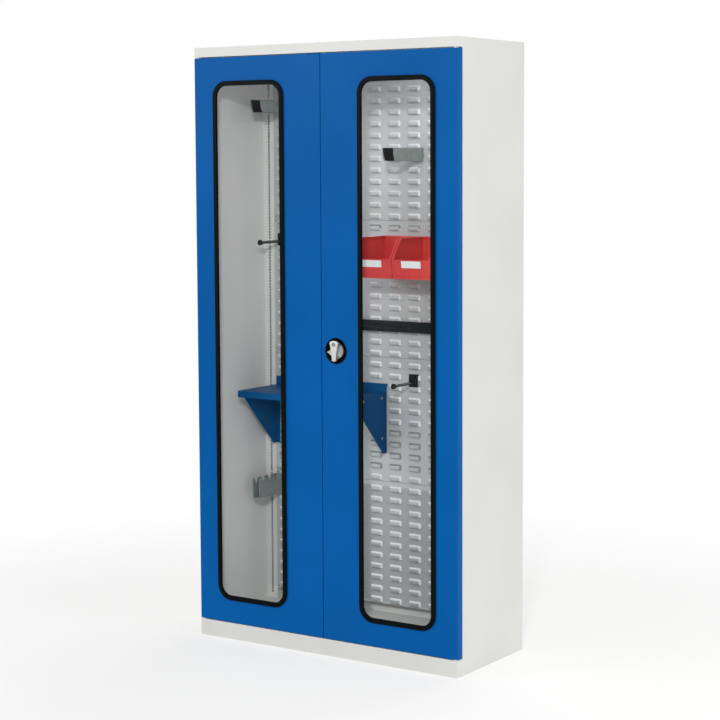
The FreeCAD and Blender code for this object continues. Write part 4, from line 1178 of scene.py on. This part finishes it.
@dataclass
class LockFront:
    """Dish, disc and grip of the rod lock as seen from outside."""

    x: float = 55.0
    z: float = 985.0
    dish_front: float = -206.5
    dish_floor: float = -192.0
    dish_back: float = -191.0
    disc_radius: float = 24.5
    disc_front: float = -202.0
    disc_back: float = -194.0
    grip_front: float = -219.0
    grip_half: float = 33.0
    grip_top: float = 16.5
    grip_foot: float = 8.0
    grip_round: float = 8.0
    foot_round: float = 3.5
    key_up: float = 21.0
    # Rings up the grip: depth from the disc's front or from the grip's, growth.
    skirt: tuple[Flat, ...] = ((2.0, 2.2), (0.4, 1.3), (-1.4, 0.5), (-4.0, 0.1))
    crown: tuple[Flat, ...] = ((2.6, 0.0), (1.3, -0.25), (0.45, -0.8), (0.05, -1.7), (0.0, -3.0))
    # How far the lowest rings lift at the grip's ends, which stand clear of the dish.
    lifts: tuple[float, ...] = (11.0, 10.3, 9.3, 8.0)

    def build(self) -> None:
        """Builds dish and knob."""
        self.dish()
        self.knob()

    def dish(self) -> None:
        """Turns the dish with its rolled rim, shoulder and floor rings."""
        front, floor, back = self.dish_front, self.dish_floor, self.dish_back
        profile = [
            (6.1, back), (36.2, back), (36.2, FRONT - 0.02), (41.2, FRONT - 0.02),
            (41.5, FRONT - 0.5), (41.1, front + 0.35), (40.3, front), (39.0, front + 0.1),
            (37.2, front + 0.6), (36.0, front + 1.7), (35.4, front + 3.6), (35.0, floor - 4.5),
            (34.2, floor - 1.8), (32.6, floor - 0.4), (30.5, floor), (28.2, floor),
            (27.9, floor - 0.5), (26.6, floor - 0.5), (26.3, floor), (6.1, floor), (6.1, back),
        ]
        shape = Shape()
        shape.lathe(profile, (self.x, 0.0, self.z), 96)
        shape.ride("recessed_dish", "door_right", "dish_black", "lock_dish", 40.0)

    def grip_ring(self, y: float, grow: float, steps: int = 14) -> list[Point]:
        """Outline of the grip at one depth.

        Args:
            y: Depth of the ring.
            grow: How far it stands outside the plain outline.
            steps: Points along each side and round each end.

        Returns:
            Points in order.
        """
        waist = self.grip_half - self.grip_round
        ankle = self.grip_half - self.foot_round

        def side(t: float) -> Flat:
            """Right side, from the waist at 0 to the ankle at 1."""
            flare = (self.grip_top - self.grip_foot) * (1 - t) ** 1.7
            return (self.grip_foot + flare + grow, waist - (waist + ankle) * t)

        def end(t: float, wide: float, tall: float, z: float) -> Flat:
            """Arc from right to left, at 0 and 1, downwards if tall is below 0."""
            return (wide * math.cos(math.pi * t), z + tall * math.sin(math.pi * t))

        shares = [step / steps for step in range(steps)]
        foot = (self.grip_foot + grow, -self.foot_round - grow, -ankle)
        top = (self.grip_top + grow, self.grip_round + grow, waist)
        points = [side(t) for t in shares]
        points += [end(t, *foot) for t in shares]
        points += [(-x, z) for x, z in (side(1 - t) for t in shares)]
        points += [end(1 - t, *top) for t in shares]
        return [(self.x + x, y, self.z + z) for x, z in points]

    def knob(self) -> None:
        """Builds the disc with its rim and pointer, and the flared grip on it."""
        shape = Shape()
        radius, disc, front = self.disc_radius, self.disc_front, self.grip_front
        profile = [
            (0.0, self.disc_back), (radius - 0.6, self.disc_back), (radius, self.disc_back - 0.6),
            (radius, disc + 1.4), (radius - 0.7, disc + 0.3), (radius - 1.8, disc),
            (radius - 2.8, disc + 0.3), (radius - 3.6, disc + 1.2), (radius - 5.0, disc + 1.6),
            (0.0, disc + 1.6),
        ]
        shape.lathe(profile, (self.x, 0.0, self.z), 72)
        rings = [self.grip_ring(disc + y, grow) for y, grow in self.skirt]
        rings += [self.grip_ring(front + y, grow) for y, grow in self.crown]
        limit = radius - 0.4
        for ring in rings[:3]:
            # The skirt fades into the disc and doesn't leave it.
            for i, (px, py, pz) in enumerate(ring):
                dx, dz = px - self.x, pz - self.z
                reach = math.hypot(dx, dz)
                if reach > limit and abs(dz) < self.grip_half - 8:
                    ring[i] = (self.x + dx * limit / reach, py, self.z + dz * limit / reach)
        plain = self.grip_ring(front, -0.2)
        for ring, lift in zip(rings, self.lifts):
            for i, ((px, py, pz), (qx, _, qz)) in enumerate(zip(ring, plain)):
                share = min(max((abs(pz - self.z) - 18.0) / 8.0, 0.0), 1.0)
                ring[i] = (px + (qx - px) * share, py - lift * share, pz + (qz - pz) * share)
        shape.loft(rings)
        bezel = ((6.15, 0.8), (6.15, -0.2), (6.7, -0.35), (7.3, -0.2), (7.7, 0.8))
        shape.lathe(
            [(r, front + y) for r, y in bezel], (self.x, 0.0, self.z + self.key_up), 40
        )
        # Fin beside the grip that runs out into the pointer.
        low = self.z - 5.0
        shape.loft(
            [
                [
                    (self.x - reach, disc + near, low - 0.6 * half),
                    (self.x - reach, disc + near, low + 0.6 * half),
                    (self.x - reach, disc + far, low + half),
                    (self.x - reach, disc + far, low - half),
                ]
                for reach, half, near, far in (
                    (self.grip_foot - 1.0, 19.0, -14.5, 1.0), (radius - 10.0, 13.0, -12.0, 1.0),
                    (radius - 3.0, 7.5, -9.0, -0.5), (radius + 4.0, 3.6, -6.0, -1.0),
                    (radius + 9.5, 1.6, -3.6, -1.4),
                )
            ]
        )
        shape.ride("turn_grip", "knob", "knob_silver", "turn_knob", 38.0)


# ---------------------------------------------------- fittings and fasteners


@dataclass
class Fasteners:
    """Screws, rivets and weld marks, each set repeated with Geometry Nodes."""

    door_back: float = -181.2
    cover_back: float = -180.0
    weld_face: float = -202.6
    panel_face: float = 165.0
    catch_face: float = -167.7

    def build(self) -> None:
        """Places every set on its body."""
        to_back = (0.0, 0.0, 180.0)
        cover = [(x, self.cover_back, z) for x in (38.0, 72.0) for z in (948.0, 1022.0)]
        self.put("cover_screws", "door_right", "lock_steel", (3.0, 1.6), to_back, cover)
        guides = [(x, self.door_back, z) for z in (1875.0, 1457.5) for x in (33.1, 47.6)]
        guides += [(x, self.door_back, z) for z in (528.0, 98.0) for x in (62.4, 76.9)]
        self.put("guide_rivets", "door_right", "lock_steel", (1.7, 0.9), to_back, guides)
        for side, sign in (("left", -1.0), ("right", 1.0)):
            columns = (sign * 435.5, sign * 467.5)
            marks = [(x, self.weld_face, 130.0 + 143.0 * i) for x in columns for i in range(13)]
            self.put("weld_marks_" + side, "door_" + side, "door_blue", (2.6, 0.35), to_back, marks)
        ends = (99.6, 502.9, 517.6, 920.6, 935.6, 1376.6, 1391.6, 1832.6)
        corners = [(x, self.panel_face, z) for z in ends for x in (-448.0, 448.0)]
        self.put("panel_screws", "carcass", "lock_steel", (3.0, 1.5), (0.0, 0.0, 0.0), corners)
        for side, x, turn in (("right", 8.0, 90.0), ("left", -446.0, -90.0)):
            spots = [(x, 130.0, 795.0), (x, 20.0, 795.0), (x, 130.0, 660.0)]
            name = "bracket_rivets_" + side
            self.put(name, "carcass", "knob_silver", (4.6, 1.6), (0.0, 0.0, turn), spots)
        for level, z, turn in (("low", 70.0, -90.0), ("top", 1903.0, 90.0)):
            spots = [(x, self.catch_face, z) for x in (-62.0, -33.0)]
            name = "catch_screws_" + level
            self.put(name, "carcass", "lock_steel", (2.8, 1.3), (turn, 0.0, 0.0), spots)

    def put(
        self, name: str, body: str, slot: str, size: Flat, turn: Point, spots: Sequence[Point]
    ) -> None:
        """Repeats one pan head with Geometry Nodes and hands the set to its body.

        Args:
            name: Name of the set.
            body: Body that carries it.
            slot: Material slot.
            size: Radius of the heads and how far they stand out.
            turn: Rotation of every head in degrees; plain ones face the front.
            spots: Their places.
        """
        radius, height = size
        shares = ((0.0, 0.45), (0.4, 0.45), (0.46, 1.0), (0.7, 0.92), (0.95, 0.55), (1.0, 0.0))
        shape = Shape()
        shape.lathe([(radius * r, -height * h) for r, h in shares], (0.0, 0.0, 0.0), 12)
        template = shape.finish(name + "_head", finish_of(slot), 50.0, outward=False)
        marks = bpy.data.meshes.new(name + "_marks")
        marks.from_pydata([tuple(v * MM for v in spot) for spot in spots], [], [])
        marker = link(name + "_marks", marks)
        tree = Tree(name)
        points, part = (
            tree.node("GeometryNodeObjectInfo", {0: tree.value(*entry)}, out="Geometry")
            for entry in (("Spots", "Object", marker), ("Part", "Object", template))
        )
        turned = tree.value("Turn", "Vector", [math.radians(v) for v in turn])
        copies = tree.node(
            "GeometryNodeInstanceOnPoints",
            {"Points": points, "Instance": part, "Rotation": turned},
        )
        attach(tree.run(copies, slot, [marker, template]), body)


@dataclass
class Fittings:
    """What the hung fittings wear: pads, bar sleeves, caps, magnet strips."""

    pad_thickness: float = 1.1
    pad_length: float = 64.0
    holder_tip: float = -19.3
    peg_end: float = 156.7
    rail_left: float = -140.0
    rail_right: float = 330.0
    rail_low: float = 1016.6
    rail_high: float = 1052.6
    rail_front: float = 144.7

    def build(self) -> None:
        """Builds them all."""
        self.pads("left", -413.3, -370.3, 1743.1)
        self.pads("right", 110.7, 153.7, 1580.0)
        self.peg("tool", -418.0, 29.7, 1307.9)
        self.peg("tape", 114.0, 32.7, 851.9)
        self.rail()

    def pads(self, side: str, left: float, right: float, low: float) -> None:
        """Lines the inner faces of a holder's arms with thin dark pads.

        Args:
            side: Which holder.
            left: Its left side.
            right: Its right side.
            low: Its lower edge.
        """
        shape = Shape()
        tip, end = self.holder_tip, self.holder_tip + self.pad_length
        outline = (
            (tip + 13.0, low + 0.6), (end, low + 0.6), (end, low + 41.4),
            (tip + 1.0, low + 41.4), (tip + 1.0, low + 30.0),
        )
        for x in (left + 2.0, right - 2.0 - self.pad_thickness):
            shape.loft([[(v, y, z) for y, z in outline] for v in (x, x + self.pad_thickness)])
        shape.ride("holder_pads_" + side, "carcass", "catch_black")

    def peg(self, name: str, x: float, tip: float, z: float) -> None:
        """Draws a zinc sleeve over a peg's bar and a hollow rubber cap over its tip.

        Args:
            name: Which peg.
            x: Its middle.
            tip: Its foremost point.
            z: Height of its axis.
        """
        end = self.peg_end
        sleeve = [(3.5, tip + 8.0), (3.8, tip + 8.4), (3.8, end - 0.4), (3.5, end)]
        cap = [
            (0.0, tip - 0.1), (3.4, tip - 0.1), (4.2, tip - 0.5), (6.9, tip - 0.6),
            (7.8, tip - 0.1), (8.2, tip + 1.0), (8.2, tip + 7.2), (7.6, tip + 8.1),
            (3.9, tip + 8.2), (3.5, tip + 8.0),
        ]
        for kind, profile, steps, slot in (
            ("sleeve", sleeve, 24, "lock_steel"), ("cap", cap, 36, "buffer_rubber")
        ):
            shape = Shape()
            shape.lathe(profile, (x, 0.0, z), steps)
            shape.ride(f"peg_{kind}_{name}", "carcass", slot)

    def rail(self) -> None:
        """Fits two magnet strips to the rail's front and a moulded cap to each end."""
        front, left, right = self.rail_front, self.rail_left, self.rail_right
        strips = Shape()
        for low in (self.rail_low + 4.0, self.rail_high - 15.0):
            high = (right - 14.0, front + 0.4, low + 11.0)
            strips.block((left + 14.0, front - 0.8, low), high, 0.35)
        strips.ride("magnet_strips", "carcass", "rail_black")
        caps = Shape()
        low, high = self.rail_low - 0.5, self.rail_high + 0.5
        for x0, x1 in ((left - 0.6, left + 12.0), (right - 12.0, right + 0.6)):
            outline = rounded_outline((x0, low), (x1, high), 2.5, 4)
            caps.prism(outline, front - 1.2, front + 12.0, 0.8)
        caps.ride("rail_end_caps", "carcass", "catch_black")


# ------------------------------------------------------------------- the room


@dataclass
class Studio:
    """Camera, lamps, floor and backdrop; the camera stands as the photograph's did."""

    place: Point = (3365.396, -5008.781, 1589.581)
    right: Point = (0.83095818, 0.55631485, -0.00472061)
    up: Point = (-0.04633903, 0.07766656, 0.9959019)
    back: Point = (0.55440165, -0.82733409, 0.09031676)
    focal_px: float = 1862.571
    shift_px: float = -33.0
    picture_px: float = 720.0
    sensor: float = 36.0
    # Strength of the world's light on surfaces; seen directly it is plain white.
    glow: float = 0.34
    # Share of plain white in the floor as the camera sees it, and the distances in
    # metres from its middle between which it fades out.
    floor_lift: float = 0.6
    floor_fade: Flat = (0.9, 2.6)
    floor_radii: tuple[float, ...] = (2800.0, 2000.0, 1200.0, 400.0)
    floor_steps: int = 64

    def build(self) -> None:
        """Builds everything that isn't part of the cabinet."""
        self.camera()
        self.world()
        self.lamps()
        self.floor()

    def camera(self) -> None:
        """Sets the camera at the photograph's viewing angle."""
        data = bpy.data.cameras.new("camera")
        data.sensor_width = self.sensor
        data.lens = self.focal_px * self.sensor / self.picture_px
        data.shift_y = self.shift_px / self.picture_px
        data.clip_end = 50.0
        camera = link("camera", data)
        axes = Matrix((self.right, self.up, self.back)).transposed()
        camera.matrix_world = Matrix.Translation(Vector(self.place) * MM) @ axes.to_4x4()
        bpy.context.scene.camera = camera

    def world(self) -> None:
        """Gives a white background to looks and a softer one to light."""
        world = bpy.data.worlds.new("studio")
        bpy.context.scene.world = world
        world.use_nodes = True
        tree = world.node_tree
        tree.nodes.clear()
        seen: Socket | float = 0.0
        for name in ("Is Camera Ray", "Is Glossy Ray", "Is Transmission Ray"):
            ray = add_node(tree, "ShaderNodeLightPath", out=name)
            seen = add_node(tree, "ShaderNodeMath", {0: seen, 1: ray}, EITHER)
        white = linear("#FFFFFF")
        soft = add_node(tree, "ShaderNodeBackground", {0: white, 1: self.glow})
        full = add_node(tree, "ShaderNodeBackground", {0: white, 1: 1.0})
        mixed = add_node(tree, "ShaderNodeMixShader", {0: seen, 1: soft, 2: full})
        add_node(tree, "ShaderNodeOutputWorld", {0: mixed})

    def lamps(self) -> None:
        """Hangs the lamps: key near the camera, fill at the left, one at each dark place.

        The rear lamp is wide and high, so no shadow edge falls forwards. Three weak
        ones inside, which no ray sees, keep the colours behind the panes as written.
        """
        middle = (0.0, 0.0, 1000.0)
        for name, spot, aim, size, power in (
            ("key", (2810.0, -4700.0, 2750.0), middle, (260.0, 260.0), 135.0),
            ("fill", (-2600.0, -3600.0, 2600.0), middle, (1500.0, 1500.0), 62.0),
            ("side", (4200.0, -300.0, 2000.0), (0.0, 0.0, 950.0), (2400.0, 2400.0), 72.0),
            ("rear", (100.0, 3100.0, 4100.0), middle, (2600.0, 2600.0), 75.0),
            ("inside", (0.0, -160.0, 980.0), (0.0, 300.0, 980.0), (860.0, 1760.0), 2.3),
            ("inside_low", (0.0, -160.0, 470.0), (0.0, 300.0, 470.0), (860.0, 740.0), 0.3),
            ("inside_top", (290.0, -60.0, 1880.0), (60.0, 160.0, 1000.0), (260.0, 120.0), 0.8),
        ):
            data = bpy.data.lights.new(name, "AREA")
            data.energy = power
            data.shape = "RECTANGLE"
            data.size, data.size_y = (side * MM for side in size)
            lamp = link(name, data)
            lamp.location = Vector(spot) * MM
            way = Vector(aim) - Vector(spot)
            lamp.rotation_euler = way.to_track_quat("-Z", "Y").to_euler()
            if name.startswith("inside"):
                lamp.visible_camera = False
                lamp.visible_glossy = False
                lamp.visible_transmission = False

    def floor(self) -> None:
        """Lays a pale round floor that fades into the white background."""
        made, tree, where = new_material("studio_floor_pale")
        length = {"operation": "LENGTH"}
        distance = add_node(tree, "ShaderNodeVectorMath", {0: where}, length, "Value")
        near, far = self.floor_fade
        fade = add_node(
            tree,
            "ShaderNodeMapRange",
            {"Value": distance, "From Min": near, "From Max": far},
            {"interpolation_type": "SMOOTHSTEP"},
        )
        matt = add_node(tree, "ShaderNodeBsdfDiffuse", {0: linear("#F4F4F2")})
        white = add_node(tree, "ShaderNodeEmission", {0: linear("#FFFFFF"), 1: 1.0})
        ray = add_node(tree, "ShaderNodeLightPath", out="Is Camera Ray")
        lift = add_node(tree, "ShaderNodeMath", {0: ray, 1: self.floor_lift}, TIMES)
        pale = add_node(tree, "ShaderNodeMixShader", {0: lift, 1: matt, 2: white})
        clear = add_node(tree, "ShaderNodeBsdfTransparent")
        mixed = add_node(tree, "ShaderNodeMixShader", {0: fade, 1: pale, 2: clear})
        add_node(tree, "ShaderNodeOutputMaterial", {0: mixed})
        turns = [math.tau * i / self.floor_steps for i in range(self.floor_steps)]
        shape = Shape()
        shape.loft(
            [[(r * math.cos(t), r * math.sin(t), 0.0) for t in turns] for r in self.floor_radii],
            caps=False,
        )
        shape.mesh.faces.new(list(shape.mesh.verts)[-self.floor_steps :])
        shape.finish("studio_floor", made, outward=False)


def main() -> None:
    """Builds the pieces in order and reports each."""
    logging.basicConfig(level=logging.INFO, format="%(message)s")
    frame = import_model()
    bpy.context.scene.view_settings.view_transform = "Standard"
    dress(frame["nodes"])
    Studio().build()
    LouvrePanel("top", 12, 0, 1384.6, 1839.6).build()
    LouvrePanel("upper", 12, 12, 928.6, 1383.6).build()
    LouvrePanel("lower", 11, 24, 510.6, 927.6).build()
    LouvrePanel("bottom", 11, 35, 92.6, 509.6).build()
    for side, sign in (("left", -1), ("right", 1)):
        Window(side, sign).build()
    StorageBin("left", 2.0).build()
    StorageBin("right", 150.0).build()
    MeetingLip().build()
    LockFront().build()
    Fittings().build()
    Fasteners().build()


if __name__ == "__main__":
    main()
